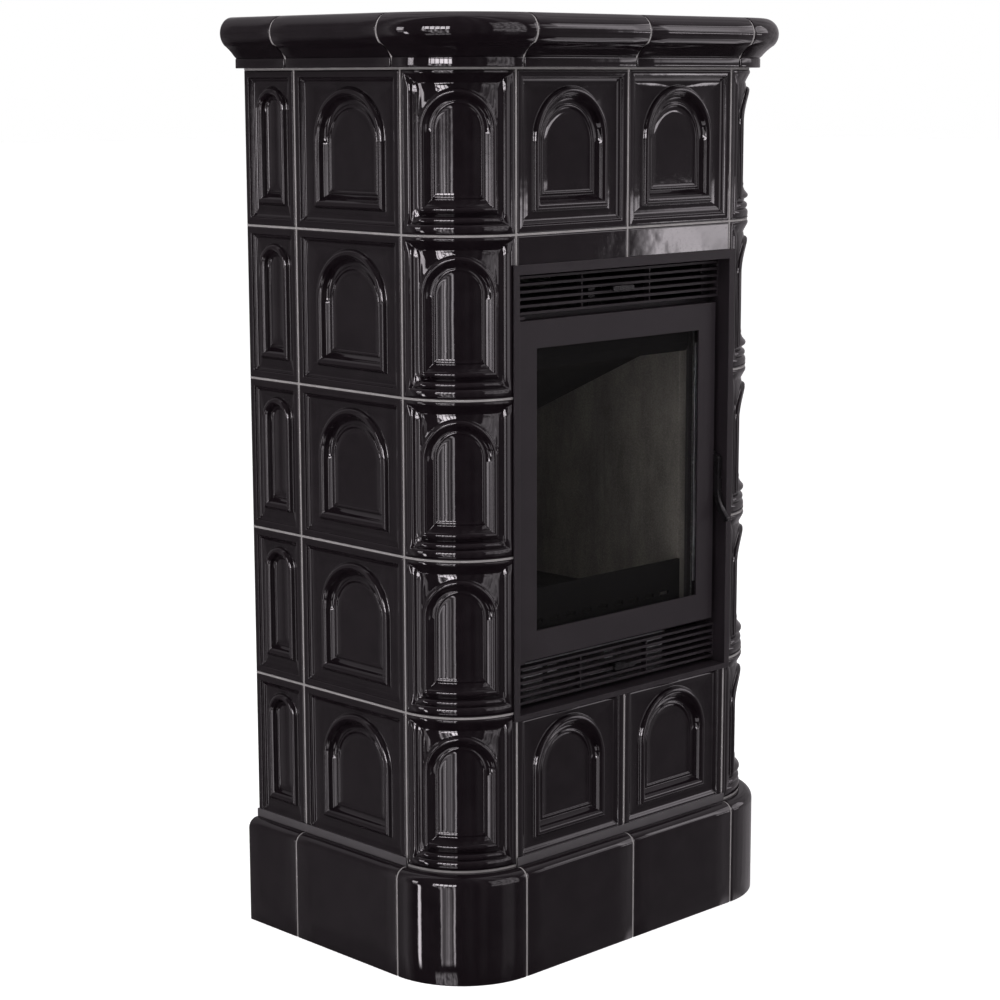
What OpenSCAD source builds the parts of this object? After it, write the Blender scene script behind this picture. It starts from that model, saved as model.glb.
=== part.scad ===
// Tiled stove: black glazed arch tiles laid in courses round a steel fireplace insert.
// Millimetres, +Z up, the floor is z = 0, and the stove faces -Y.
// Depths inside the stove are counted back from the face of the front tiles.

/* [Tiles] */
// Height and width of a full tile
tile = 220; // [190:1:240]
// Width of the mortar joints
joint = 3; // [2:0.5:5]
// Flat rim round a tile
rim_w = 10; // [6:0.5:13]
// How far the field lies behind the rim
field_deep = 6.5; // [4:0.5:9]
// Thickness of a tile from its rim to its back
plate_t = 26; // [22:0.5:30]
// Depth of the collar on the back of a tile
collar_deep = 45; // [34:1:55]
// Wall of the collar
collar_wall = 10; // [7:0.5:14]
// How far the collar stands in from the edge of the tile
collar_in = 8; // [5:0.5:12]

/* [Arch relief] */
// Radius of the round moulding along the arch
bead_r = 6; // [4:0.5:7]
// Half width of the arch on a full tile, at the crest of its moulding
arch_half = 67.5; // [50:0.5:72]
// Half width of the arch on a half tile, at the crest of its moulding
slim_half = 26; // [20:0.5:30]
// Half width of the arch on a corner tile, at the crest of its moulding
corner_half = 50.5; // [38:0.5:54]
// From the top of a tile down to the crest of the arch
crest_down = 29; // [24:0.5:34]
// From the foot of a tile up to the crest of the sill
sill_up = 35; // [30:0.5:42]
// Depth of the niche behind the rim on a full tile
niche_deep = 16; // [12:0.5:19]
// Depth of the niche behind the rim on a half tile
slim_deep = 12; // [9:0.5:16]
// Depth of the niche behind the rim on a corner tile
corner_deep = 7; // [5:0.5:12]
// How far the sides of a full niche slope inwards
splay = 18; // [8:0.5:22]
// How far the sides of a slim niche slope inwards
slim_splay = 8; // [4:0.5:10]

/* [Plinth and cornice] */
// Height of the plinth
plinth_h = 160; // [120:1:200]
// How far the plinth stands out from the tiles
plinth_out = 20; // [12:0.5:26]
// Rounding of the upper edge of the plinth
plinth_round = 15; // [6:0.5:19]
// Wall of the plinth pieces
plinth_wall = 14; // [10:0.5:20]
// Height of the cornice
cornice_h = 72; // [66:1:86]
// How far the nose of the cornice stands out from the tiles
cornice_out = 42; // [38:0.5:50]
// Radius of the nose
nose_r = 23; // [19:0.5:26]
// How far the lower fillet of the cornice stands out
fillet_out = 15; // [10:0.5:19]
// Height of that fillet
fillet_h = 14; // [9:0.5:18]
// Depth of the hollow slope between the fillet and the nose
cove_deep = 3; // [1:0.5:5]
// Thickness of the cover slab
slab_t = 25; // [18:1:30]

/* [Insert frame] */
// Height of the short lintel tile seen above the frame
lintel_show = 39.5; // [25:0.5:60]
// How far the frame reaches down over the lowest course
frame_drop = 11; // [9:0.5:13]
// How far the frame laps over the tiles at each side
frame_lap = 6.5; // [4:0.5:9]
// Gap between the box of the frame and the tiles
box_gap = 2.5; // [1.5:0.5:4]
// How far the frame stands in front of the tiles
frame_proud = 3.5; // [3:0.25:6]
// Thickness of the front ring of the frame
frame_t = 3; // [2:0.25:4]
// Height of the upper bar of the frame
bar_top = 14; // [10:0.5:18]
// Height of the lower bar of the frame
bar_low = 8; // [6:0.5:9]
// Sheet of the frame box
sheet = 2; // [1.5:0.25:3]
// Height left above and below the slats of the upper grille, taken together
grille_top_room = 11.5; // [10:0.5:20]
// Height left above and below the slats of the lower grille, taken together
grille_low_room = 17; // [14:0.5:26]
// Slats in each grille
slats = 6; // [4:1:6]
// Pitch of the slats
slat_pitch = 10; // [9:0.25:10.5]
// Height of one slat
slat_h = 4; // [3:0.25:5]
// Depth of one slat
slat_deep = 14; // [8:0.5:15]
// Depth of the grilles behind the tiles
grille_y = 19; // [15:0.5:20]

/* [Door] */
// Gap between the door and the frame at each side
door_gap = 12; // [11:0.5:14]
// Depth of the door face behind the tiles
door_y = 13; // [11:0.5:16]
// Depth of the folded edge of the door
door_deep = 20; // [18:0.5:21]
// Thickness of the door face
door_t = 3; // [2:0.25:4]
// Width of the side bars of the door
stile_w = 37; // [36:0.5:45]
// Height of the upper bar of the door
rail_top = 39; // [36:0.5:50]
// Height of the lower bar of the door
rail_low = 41; // [36:0.5:52]
// Thickness of the glass
glass_t = 4; // [3:0.5:5]
// Radius of the hinge pins
hinge_pin_r = 4; // [3:0.25:4]
// Radius of the handle spindle
spindle_r = 4; // [3:0.25:4.5]
// Running clearance round pins and spindles
running = 0.05; // [0.02:0.01:0.08]
// Width of the handle
lever_w = 8; // [6:0.5:8.5]

/* [Firebox] */
// Thickness of the plate round the door opening
front_t = 5; // [4:0.5:6]
// Space at each side between the firebox and the frame
fire_gap = 28; // [26:1:40]
// Wall of the firebox
fire_wall = 4; // [3:0.5:6]
// Space between the firebox and the back panel
back_room = 60; // [50:1:90]
// Thickness of the lining boards
lining_t = 16; // [14:0.5:25]
// Thickness of the baffle board
baffle_t = 25; // [18:1:30]
// Slope of the baffle
baffle_slope = 25; // [15:1:30]
// Outer radius of the flue collar
flue_r = 75; // [65:1:75]
// Outer radius of the air spigot
air_r = 50; // [40:1:50]
// Wall of the flue collar and the air spigot
pipe_wall = 3; // [2:0.5:4]
// How far the flue collar and the air spigot reach behind the stove
pipe_out = 42; // [30:1:60]

/* [Hidden] */
$fn = 96;

glaze = [0.035, 0.03, 0.034];
mortar = [0.58, 0.56, 0.55];
steel = [0.13, 0.12, 0.125];
sheet_steel = [0.45, 0.46, 0.47];
board = [0.33, 0.3, 0.25];
iron = [0.07, 0.07, 0.07];
slab_stone = [0.5, 0.49, 0.47];

// Clearance between pieces of different bodies, and the overlap that makes a clean cut
clear = 0.3;
cut = 1;

// The body of the stove, by courses of tiles
courses = 5;
half_tile = tile / 2;
corner_r = half_tile;
pitch = tile + joint;
body_w = 2 * corner_r + 2 * tile + 3 * joint;
body_d = corner_r + tile + half_tile + 2 * joint;
front_y = cornice_out - (cornice_out + body_d + pipe_out) / 2;
side_full = corner_r + joint + half_tile;
side_half = side_full + half_tile + joint + half_tile / 2;
front_at = pitch / 2;
slab_gap = 2;
shelf_in = 30;
rebate_in = 12;
function course_z(k) = plinth_h + joint + k * pitch;
cornice_z = course_z(courses);
slab_z = cornice_z + cornice_h - slab_gap - slab_t;

// The frame of the insert and what it leaves for the door and the grilles
opening_half = body_w / 2 - corner_r;
box_half = opening_half - box_gap;
in_half = box_half - sheet;
flange_half = opening_half + frame_lap;
frame_z1 = course_z(4) - joint - lintel_show;
frame_z0 = course_z(1) - joint - frame_drop;
in_z1 = frame_z1 - bar_top;
in_z0 = frame_z0 + bar_low;
lintel_lap = 7.5;
grille_span = (slats - 1) * slat_pitch + slat_h;
door_half = in_half - door_gap;
door_z1 = in_z1 - grille_span - grille_top_room;
door_z0 = in_z0 + grille_span + grille_low_room;
pane_half = door_half - stile_w;
pane_z0 = door_z0 + rail_low;
pane_z1 = door_z1 - rail_top;
door_back = door_y + door_deep;
seal_room = 5;
front_plate_y = door_back + seal_room;
fire_y = front_plate_y + front_t;
fire_half = in_half - fire_gap;
fire_y1 = body_d - collar_in - back_room;
fire_under = 6;
fire_over = 2;
fire_z0 = door_z0 - fire_under;
fire_z1 = door_z1 + fire_over;
throat_in = 5;
throat_low = 22;
throat_top = 20;
throat_half = fire_half - fire_wall - throat_in;
throat_z0 = door_z0 + throat_low;
throat_z1 = door_z1 - throat_top;

// Hinge axis and handle axis
bush_wall = 2;
bush_in = 1;
hinge_in = 9;
spindle_in = 12;
spindle_up = 10;
bush_r = hinge_pin_r + bush_wall;
hinge_x = -door_half + bush_r + bush_in;
hinge_y = door_y + hinge_in;
spindle_y = door_y + spindle_in;
spindle_z = (door_z0 + door_z1) / 2 + spindle_up;

// Hearth, ash and air
brick_h = 31;
lining_in = 9;
hearth_z = fire_z0 + fire_wall + brick_h;
lining_y0 = fire_y + lining_in;
lining_y1 = fire_y1 - fire_wall - lining_t;
lining_half = fire_half - fire_wall - lining_t;
grate_w = 200;
grate_d = 190;
grate_t = 12;
grate_in = 40;
grate_y = lining_y0 + grate_in;
brick_ledge = 8;
air_margin = 10;
air_h = 2 * air_r + air_margin;
air_z0 = fire_z0 - air_h;
air_half = 150;
air_front_in = 24;
air_rear_in = 28;
air_y0 = front_plate_y + air_front_in;
air_y1 = fire_y1 - air_rear_in;
flange_t = 5;
flange_w = 14;
flange_down = 2;
flue_z = fire_z1 - flue_r - flange_w - flange_down;
air_z = air_z0 + air_h / 2;
stand_tube = 30;
floor_slab_t = 30;
foot_room = 30;
stand_z0 = floor_slab_t + foot_room;

// Helpers
module at_front() {
  translate([0, front_y, 0]) children();
}

module both_sides() {
  for (s = [0, 1]) mirror([s, 0, 0]) children();
}

module on_left(back, z) {
  translate([-body_w / 2, front_y + back, z]) rotate([0, 0, -90]) children();
}

module box(x0, x1, y0, y1, z0, z1) {
  translate([x0, y0, z0]) cube([x1 - x0, y1 - y0, z1 - z0]);
}

// A prism along X from a shape drawn in the YZ plane
module along_x(x0, x1) {
  translate([x0, 0, 0]) rotate([90, 0, 90]) linear_extrude(x1 - x0) children();
}

// A ring of sheet seen from the front, between an outer and an inner rectangle
module ring(half, z0, z1, wall_x, wall_z0, wall_z1, y0, y1) {
  difference() {
    box(-half, half, y0, y1, z0, z1);
    box(-half + wall_x, half - wall_x, y0 - cut, y1 + cut, z0 + wall_z0, z1 - wall_z1);
  }
}

// A straight bar in a flat drawing, from one point to another
module bar2d(p, q, w) {
  d = q - p;
  translate(p) rotate(atan2(d[1], d[0])) translate([0, -w / 2]) square([norm(d), w]);
}

// Arch relief of the flat tiles
function spring(half) = tile - crest_down - half;

// An arched block from depth y0 to y1, with its sides drawn in by the draft
module arch_block(half, sill, spring_z, y0, y1, draft) {
  translate([0, y0, spring_z]) rotate([-90, 0, 0])
    cylinder(h = y1 - y0, r1 = half, r2 = half - draft);
  intersection() {
    translate([0, 0, sill]) linear_extrude(spring_z - sill)
      polygon([[-half, y0], [half, y0], [half - draft, y1], [draft - half, y1]]);
    along_x(-half, half)
      polygon([[y0, sill], [y1, sill + draft], [y1, spring_z + cut], [y0, spring_z + cut]]);
  }
}

// A rectangular recess with sloping sides
module bevel_block(w, z0, z1, y0, y1, draft) {
  intersection() {
    translate([0, 0, z0]) linear_extrude(z1 - z0)
      polygon([[-w / 2, y0], [w / 2, y0], [w / 2 - draft, y1], [draft - w / 2, y1]]);
    along_x(-w / 2, w / 2)
      polygon([[y0, z0], [y1, z0 + draft], [y1, z1 - draft], [y0, z1]]);
  }
}

// The round moulding that frames the niche: a half torus on two posts and a sill
module arch_bead(half) {
  translate([0, 0, spring(half)]) rotate([90, 0, 0])
    rotate_extrude(angle = 180) translate([half, 0]) circle(bead_r);
  for (s = [-1, 1]) {
    translate([s * half, 0, sill_up]) cylinder(h = spring(half) - sill_up, r = bead_r);
    translate([s * half, 0, sill_up]) sphere(bead_r);
  }
  translate([-half, 0, sill_up]) rotate([0, 90, 0]) cylinder(h = 2 * half, r = bead_r);
}

// A pressed tile: plate and collar, sunk field, round moulding and splayed niche
module arch_tile(w, half, deep, draft) {
  bead_y = field_deep;
  mouth = half - bead_r + 1;
  difference() {
    union() {
      difference() {
        union() {
          box(-w / 2, w / 2, 0, plate_t, 0, tile);
          box(-w / 2 + collar_in, w / 2 - collar_in, 0, collar_deep, collar_in, tile - collar_in);
        }
        box(-w / 2 + collar_in + collar_wall, w / 2 - collar_in - collar_wall,
          plate_t, collar_deep + cut, collar_in + collar_wall, tile - collar_in - collar_wall);
        bevel_block(w - 2 * rim_w, rim_w, tile - rim_w, 0, field_deep, field_deep);
      }
      translate([0, bead_y, 0]) arch_bead(half);
    }
    arch_block(mouth, sill_up + half - mouth, spring(half), -cut, field_deep, 0);
    arch_block(mouth, sill_up + half - mouth, spring(half), field_deep, deep, draft);
  }
}

module full_tile() {
  arch_tile(tile, arch_half, niche_deep, splay);
}

module slim_tile() {
  arch_tile(half_tile, slim_half, slim_deep, slim_splay);
}

// A corner tile is a quarter of a cylinder with the same relief wrapped round it
rim_angle = 7.5;

module quarter(from, to) {
  rotate([0, 0, 180 + from]) rotate_extrude(angle = to - from) children();
}

module through_corner() {
  rotate([0, 0, -45]) translate([0, -corner_r - bead_r, 0]) children();
}

module corner_tile() {
  outer = corner_half + bead_r / 2;
  inner = corner_half - bead_r + 1;
  floor_r = corner_r - corner_deep;
  difference() {
    union() {
      difference() {
        quarter(0, 90) translate([corner_r - collar_deep, 0]) square([collar_deep, tile]);
        quarter(rim_angle, 90 - rim_angle)
          translate([corner_r - collar_deep - cut, collar_in + collar_wall])
            square([collar_deep - plate_t + cut, tile - 2 * (collar_in + collar_wall)]);
        quarter(rim_angle, 90 - rim_angle)
          polygon([[corner_r - field_deep, rim_w + field_deep], [corner_r + cut, rim_w - cut],
            [corner_r + cut, tile - rim_w + cut],
            [corner_r - field_deep, tile - rim_w - field_deep]]);
      }
      intersection() {
        quarter(rim_angle, 90 - rim_angle)
          translate([corner_r - field_deep - cut, 0]) square([field_deep + cut, tile]);
        through_corner() arch_block(outer, sill_up - bead_r / 2, spring(corner_half), 0, corner_r, 0);
      }
    }
    difference() {
      through_corner()
        arch_block(inner, sill_up + corner_half - inner, spring(corner_half), 0, corner_r, 0);
      translate([0, 0, -cut]) cylinder(r = floor_r, h = tile + 2 * cut);
    }
  }
}

module corner_at(z) {
  translate([-body_w / 2 + corner_r, front_y + corner_r, z]) children();
}

// Courses of tiles
module left_corner_tiles() {
  color(glaze) for (k = [0 : courses - 1]) corner_at(course_z(k)) corner_tile();
}

module right_corner_tiles() {
  mirror([1, 0, 0]) left_corner_tiles();
}

module left_side_tiles() {
  color(glaze) for (k = [0 : courses - 1]) on_left(side_full, course_z(k)) full_tile();
}

module right_side_tiles() {
  mirror([1, 0, 0]) left_side_tiles();
}

module left_half_tiles() {
  color(glaze) for (k = [0 : courses - 1]) on_left(side_half, course_z(k)) slim_tile();
}

module right_half_tiles() {
  mirror([1, 0, 0]) left_half_tiles();
}

module top_tile_left() {
  color(glaze) at_front() translate([-front_at, 0, course_z(4)]) full_tile();
}

module top_tile_right() {
  mirror([1, 0, 0]) top_tile_left();
}

// The lowest front tiles are trimmed at the top to pass under the box of the frame
trim_gap = 2;
bottom_trim = course_z(1) - joint - (in_z0 - sheet - trim_gap);

module bottom_tile_left() {
  color(glaze) at_front() translate([-front_at, 0, course_z(0)]) difference() {
    full_tile();
    box(-half_tile - cut, half_tile + cut, -cut, collar_deep + cut, tile - bottom_trim, tile + cut);
  }
}

module bottom_tile_right() {
  mirror([1, 0, 0]) bottom_tile_left();
}

// Plain short tiles over the insert, with a small bevel on their front edges
lintel_bevel = 2;

module lintel_tiles() {
  z0 = frame_z1 - lintel_lap;
  z1 = course_z(4) - joint;
  color(glaze) at_front() both_sides() translate([-front_at, 0, 0]) {
    box(-half_tile, half_tile, lintel_bevel, plate_t, z0, z1);
    mirror([0, 1, 0]) bevel_block(tile, z0, z1, -lintel_bevel, 0, lintel_bevel);
  }
}

// Plinth: an L section with a rounded upper edge, straight or turned round the corner
module plinth_section(inset) {
  out = plinth_out - inset;
  top = plinth_h - inset;
  translate([out - plinth_wall, inset]) square([plinth_wall, top - plinth_round - inset]);
  translate([-plate_t, top - plinth_wall]) square([out - plinth_round + plate_t, plinth_wall]);
  translate([out - plinth_round, top - plinth_round]) circle(plinth_round);
}

// Straight run of a section along a side, between two distances from the front face
module side_run(back0, back1, z) {
  translate([-body_w / 2, front_y + back1, z]) rotate([90, 0, 0])
    linear_extrude(back1 - back0) mirror([1, 0]) children();
}

// Straight run of a section along the front, between two places across the stove
module front_run(x0, x1, z) {
  translate([x0, front_y, z]) rotate([90, 0, 90]) linear_extrude(x1 - x0) mirror([1, 0]) children();
}

module corner_run(z) {
  corner_at(z) quarter(0, 90) translate([corner_r, 0]) children();
}

side_seams = [corner_r, corner_r + joint, corner_r + joint + tile, corner_r + 2 * joint + tile, body_d];

module plinth_left_corner() {
  color(glaze) corner_run(0) plinth_section(0);
}

module plinth_right_corner() {
  mirror([1, 0, 0]) plinth_left_corner();
}

module plinth_front() {
  color(glaze) both_sides() front_run(-joint / 2 - tile, -joint / 2, 0) plinth_section(0);
}

module plinth_left() {
  color(glaze) {
    side_run(side_seams[1], side_seams[2], 0) plinth_section(0);
    side_run(side_seams[3], side_seams[4], 0) plinth_section(0);
  }
}

module plinth_right() {
  mirror([1, 0, 0]) plinth_left();
}

// Cornice: fillet, hollow slope and round nose, with a rebate behind for the cover slab
nose_x = cornice_out - nose_r;
nose_z = cornice_h - nose_r;
foot_to_nose = norm([nose_x - fillet_out, nose_z - fillet_h]);
slope_len = sqrt(pow(foot_to_nose, 2) - pow(nose_r, 2));
slope_angle = atan2(nose_z - fillet_h, nose_x - fillet_out) - asin(nose_r / foot_to_nose);
slope_end = [fillet_out + slope_len * cos(slope_angle), fillet_h + slope_len * sin(slope_angle)];
cove_r = (pow(slope_len / 2, 2) + pow(cove_deep, 2)) / (2 * cove_deep);
cove_mid = [(fillet_out + slope_end[0]) / 2, (fillet_h + slope_end[1]) / 2];
cove_at = cove_mid + (cove_r - cove_deep) * [sin(slope_angle), -cos(slope_angle)];
core_r = 11;

module cornice_section(inset) {
  rebate_z = cornice_h - slab_gap - slab_t;
  translate([-inset, 0]) difference() {
    union() {
      translate([inset - shelf_in, 0]) square([shelf_in - inset + fillet_out, fillet_h]);
      polygon([[inset - shelf_in, 0], [fillet_out, 0], [fillet_out, fillet_h], slope_end,
        [nose_x, nose_z], [nose_x, cornice_h - inset], [inset - rebate_in, cornice_h - inset],
        [inset - rebate_in, rebate_z], [inset - shelf_in, rebate_z]]);
      translate([nose_x, nose_z - inset]) circle(nose_r);
    }
    translate(cove_at) circle(cove_r);
    translate([nose_x - nose_r / 2, nose_z - nose_r / 2]) circle(core_r);
  }
}

module cornice_left_corner() {
  color(glaze) corner_run(cornice_z) cornice_section(0);
}

module cornice_right_corner() {
  mirror([1, 0, 0]) cornice_left_corner();
}

module cornice_front() {
  color(glaze) both_sides() front_run(-joint / 2 - tile, -joint / 2, cornice_z) cornice_section(0);
}

module cornice_left() {
  color(glaze) {
    side_run(side_seams[1], side_seams[2], cornice_z) cornice_section(0);
    side_run(side_seams[3], side_seams[4], cornice_z) cornice_section(0);
  }
}

module cornice_right() {
  mirror([1, 0, 0]) cornice_left();
}

// Mortar: a band in every bed joint and a strip in every upright joint, a little sunk
grout_sunk = 1;
grout_deep = 14;

module bed_section() {
  translate([-grout_sunk - grout_deep, 0]) square([grout_deep, joint]);
}

module bed_joint(z, front) {
  both_sides() {
    corner_run(z) bed_section();
    side_run(corner_r, body_d, z) bed_section();
  }
  if (front) front_run(-opening_half, opening_half, z) bed_section();
}

module upright_side(back, z0, z1) {
  both_sides() on_left(back, 0) box(0, joint, grout_sunk, grout_sunk + grout_deep, z0, z1);
}

module upright_front(x, z0, z1) {
  box(x, x + joint, front_y + grout_sunk, front_y + grout_sunk + grout_deep, z0, z1);
}

module grout() {
  color(mortar) {
    both_sides() corner_run(plinth_h) bed_section();
    for (k = [1 : courses - 1]) bed_joint(course_z(k) - joint, k == courses - 1);
    bed_joint(cornice_z - joint, true);
    for (k = [0 : courses - 1], seam = [side_seams[1], side_seams[3]])
      upright_side(seam, course_z(k), course_z(k) + tile);
    for (x = [-opening_half, -joint / 2, opening_half - joint]) {
      upright_front(x, course_z(4), course_z(4) + tile);
      upright_front(x, frame_z1 - lintel_lap, course_z(4) - joint);
      upright_front(x, course_z(0), course_z(0) + tile - bottom_trim);
    }
    both_sides() for (seam = [0, 2]) {
      side_run(side_seams[seam], side_seams[seam + 1], 0) plinth_section(grout_sunk);
      side_run(side_seams[seam], side_seams[seam + 1], cornice_z) cornice_section(grout_sunk);
    }
    for (x = [-opening_half, -joint / 2, opening_half - joint]) {
      front_run(x, x + joint, 0) plinth_section(grout_sunk);
      front_run(x, x + joint, cornice_z) cornice_section(grout_sunk);
    }
  }
}

// Steel angle under the lowest course on the flat sides: its upright leg shows as a dark strip
ledge_h = 12.5;
ledge_t = 2.2;
ledge_foot = 15;

module ledge_section() {
  translate([-ledge_foot, 0]) square([ledge_foot + clear + ledge_t, joint]);
  translate([clear, 0]) square([ledge_t, ledge_h]);
}

module ledge_trim() {
  color(steel) {
    front_run(-opening_half, opening_half, plinth_h) ledge_section();
    both_sides() side_run(corner_r, body_d, plinth_h) ledge_section();
  }
}

// Slabs and back panel
module rounded_plan(grow, back) {
  r = corner_r + grow;
  half = body_w / 2 + grow;
  for (s = [-1, 1]) translate([s * (half - r), front_y + corner_r]) circle(r);
  translate([r - half, front_y - grow]) square([2 * (half - r), corner_r + grow]);
  translate([-half, front_y + corner_r]) square([2 * half, back - corner_r]);
}

module base_slab() {
  color(slab_stone) linear_extrude(floor_slab_t)
    rounded_plan(plinth_out - plinth_wall - 1, body_d);
}

module cover_slab() {
  color(glaze) translate([0, 0, slab_z]) linear_extrude(slab_t) rounded_plan(-rebate_in - 1, body_d);
}

// The back panel fills the recess behind the tiles, and is narrower behind the cornice
hole_gap = 5;
panel_gap = 1;
air_hole = air_r + hole_gap;

module back_panel() {
  y0 = body_d - collar_in;
  half = body_w / 2 - plate_t - panel_gap;
  top_half = body_w / 2 - shelf_in - panel_gap;
  color(sheet_steel) difference() {
    at_front() {
      box(-half, half, y0, body_d, floor_slab_t, cornice_z);
      box(-top_half, top_half, y0, body_d, cornice_z, slab_z);
    }
    at_front() translate([0, body_d + cut, flue_z]) rotate([90, 0, 0])
      cylinder(r = flue_r + hole_gap, h = collar_in + 2 * cut);
    at_front() box(-air_hole, air_hole, y0 - cut, body_d + cut, air_z - air_hole, air_z + air_hole);
  }
}

// Steel stand: four posts, two rings of square tube, and four levelling feet
post_in = 6;
post_x = air_half - stand_tube;
post_y0 = air_y0 + post_in;
post_y1 = air_y1 - stand_tube - post_in;

module insert_stand() {
  top = air_z0;
  color(steel) at_front() difference() {
    union() {
      for (x = [-post_x - stand_tube, post_x], y = [post_y0, post_y1])
        box(x, x + stand_tube, y, y + stand_tube, stand_z0, top);
      for (z = [stand_z0, top - stand_tube]) {
        for (y = [post_y0, post_y1])
          box(-post_x, post_x, y, y + stand_tube, z, z + stand_tube);
        for (x = [-post_x - stand_tube, post_x])
          box(x, x + stand_tube, post_y0 + stand_tube, post_y1, z, z + stand_tube);
      }
    }
    for (x = [-post_x - stand_tube / 2, post_x + stand_tube / 2],
         y = [post_y0 + stand_tube / 2, post_y1 + stand_tube / 2])
      translate([x, y, stand_z0 - cut]) cylinder(r = foot_stud_r, h = stud_in + cut);
  }
}

foot_r = 22;
foot_t = 8;
foot_stud_r = 6;
stud_in = 25;
nut_r = 11;
nut_t = 10;

module levelling_feet() {
  color(sheet_steel) at_front()
    for (x = [-post_x - stand_tube / 2, post_x + stand_tube / 2],
         y = [post_y0 + stand_tube / 2, post_y1 + stand_tube / 2])
      translate([x, y, floor_slab_t]) {
        cylinder(r = foot_r, h = foot_t);
        cylinder(r = foot_stud_r, h = stand_z0 - floor_slab_t + stud_in);
        translate([0, 0, stand_z0 - floor_slab_t - nut_t]) cylinder(r = nut_r, h = nut_t, $fn = 6);
      }
}

// Frame of the insert: a ring in front of the tiles, folded back into a box
module insert_frame() {
  color(steel) at_front() {
    ring(flange_half, frame_z0, frame_z1, flange_half - in_half, bar_low, bar_top,
      -frame_proud, -frame_proud + frame_t);
    ring(box_half, in_z0 - sheet, in_z1 + sheet, sheet, sheet, sheet,
      -frame_proud + frame_t, front_plate_y);
  }
}

// Louvred grilles: slats between end plates, tied by two fins behind
fin_x = 70;
fin_t = 2;
fin_deep = 14;
fin_in = 3;
end_t = 2;

module grille(z_mid) {
  z0 = z_mid - grille_span / 2;
  z1 = z_mid + grille_span / 2;
  at_front() {
    for (i = [0 : slats - 1])
      box(-in_half + end_t, in_half - end_t, grille_y, grille_y + slat_deep,
        z0 + i * slat_pitch, z0 + i * slat_pitch + slat_h);
    both_sides() {
      box(-in_half, -in_half + end_t, grille_y, grille_y + slat_deep, z0, z1);
      box(-fin_x - fin_t, -fin_x, grille_y + fin_in, grille_y + fin_deep, z0, z1);
    }
  }
}

// Both grilles sit a little nearer to the frame than to the door
grille_shift = 2;
grille_top_z = (door_z1 + in_z1) / 2 + grille_shift;
grille_low_z = (door_z0 + in_z0) / 2 - grille_shift;
slide_shift = slats % 2 == 0 ? 0 : slat_pitch / 2;
top_slide_z = grille_top_z + slide_shift;
low_slide_z = grille_low_z - slide_shift;
// Travel of both air sliders to each side
slider_x = 22;

module upper_grille() {
  color(steel) grille(grille_top_z);
}

module lower_grille() {
  color(steel) grille(grille_low_z);
}

// Plate round the door opening, with air openings behind the grilles and the latch slot
grille_open_in = 15;
grille_open_low = 2;
hook_w = 5;
hook_in = 2.5;
hook_x = door_half - sheet - hook_w - hook_in;
latch_slot = 12;
slot_shift = 1.5;
slot_down = 30;
slot_up = 8;

module firebox_front() {
  open_half = in_half - grille_open_in;
  slot_x = hook_x + hook_w / 2 + slot_shift;
  color(steel) at_front() difference() {
    box(-box_half, box_half, front_plate_y, fire_y, in_z0 - sheet, in_z1 + sheet);
    box(-throat_half, throat_half, front_plate_y - cut, fire_y + cut, throat_z0, throat_z1);
    for (z = [grille_top_z, grille_low_z])
      box(-open_half, open_half, front_plate_y - cut, fire_y + cut,
        z - grille_span / 2 + grille_open_low, z + grille_span / 2);
    box(slot_x - latch_slot / 2, slot_x + latch_slot / 2, front_plate_y - cut, fire_y + cut,
      spindle_z - slot_down, spindle_z + slot_up);
  }
}

// Firebox: a welded box, open to the front, with the flue hole behind and the ash hole below
air_slot_x = 60;
slot_short = 4;
air_slot_w = 2 * slider_x - slot_short;
slide_t = 2;
slide_lip = 3;
slide_end = 8;
guide_end = 4;
top_plate_in = 12;
top_plate_y = fire_y + top_plate_in;
top_plate_w = 56;
top_slot_in = 13;
top_slot_y0 = top_plate_y + top_slot_in;
top_slot_y1 = top_plate_y + top_plate_w - top_slot_in;
low_slot_half = 8;
slide_half = air_slot_x + air_slot_w / 2 + slider_x + slide_end;
guide_half = slide_half + slider_x + guide_end;

module firebox_shell() {
  color(steel) at_front() {
    difference() {
      box(-fire_half, fire_half, fire_y, fire_y1, fire_z0, fire_z1);
      box(-fire_half + fire_wall, fire_half - fire_wall, fire_y - cut, fire_y1 - fire_wall,
        fire_z0 + fire_wall, fire_z1 - fire_wall);
      translate([0, fire_y1 + cut, flue_z]) rotate([90, 0, 0])
        cylinder(r = flue_r - pipe_wall, h = fire_wall + 2 * cut);
      box(-grate_w / 2 + brick_ledge, grate_w / 2 - brick_ledge, grate_y + brick_ledge,
        grate_y + grate_d - brick_ledge, fire_z0 - cut, fire_z0 + fire_wall + cut);
      slot_pair(0, top_slot_y0, top_slot_y1, fire_z1 - fire_wall - cut, fire_z1 + cut);
    }
    for (side = [0, 1])
      translate([0, top_plate_y + top_plate_w / 2, fire_z1]) mirror([0, side, 0])
        along_x(-guide_half, guide_half) guide_section(top_plate_w / 2);
  }
}

// An angle that holds down the edge of a sliding plate: plate half width to one side
module guide_section(half) {
  lip_z = 2 * clear + slide_t;
  translate([-half - clear - sheet, 0]) square([sheet, lip_z + sheet]);
  translate([-half - clear - sheet, lip_z]) square([sheet + clear + slide_lip, sheet]);
}

// Air box under the firebox: it holds the ash pan and feeds the fire through the grate
air_wall = 3;
low_plate_h = 34;

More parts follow.
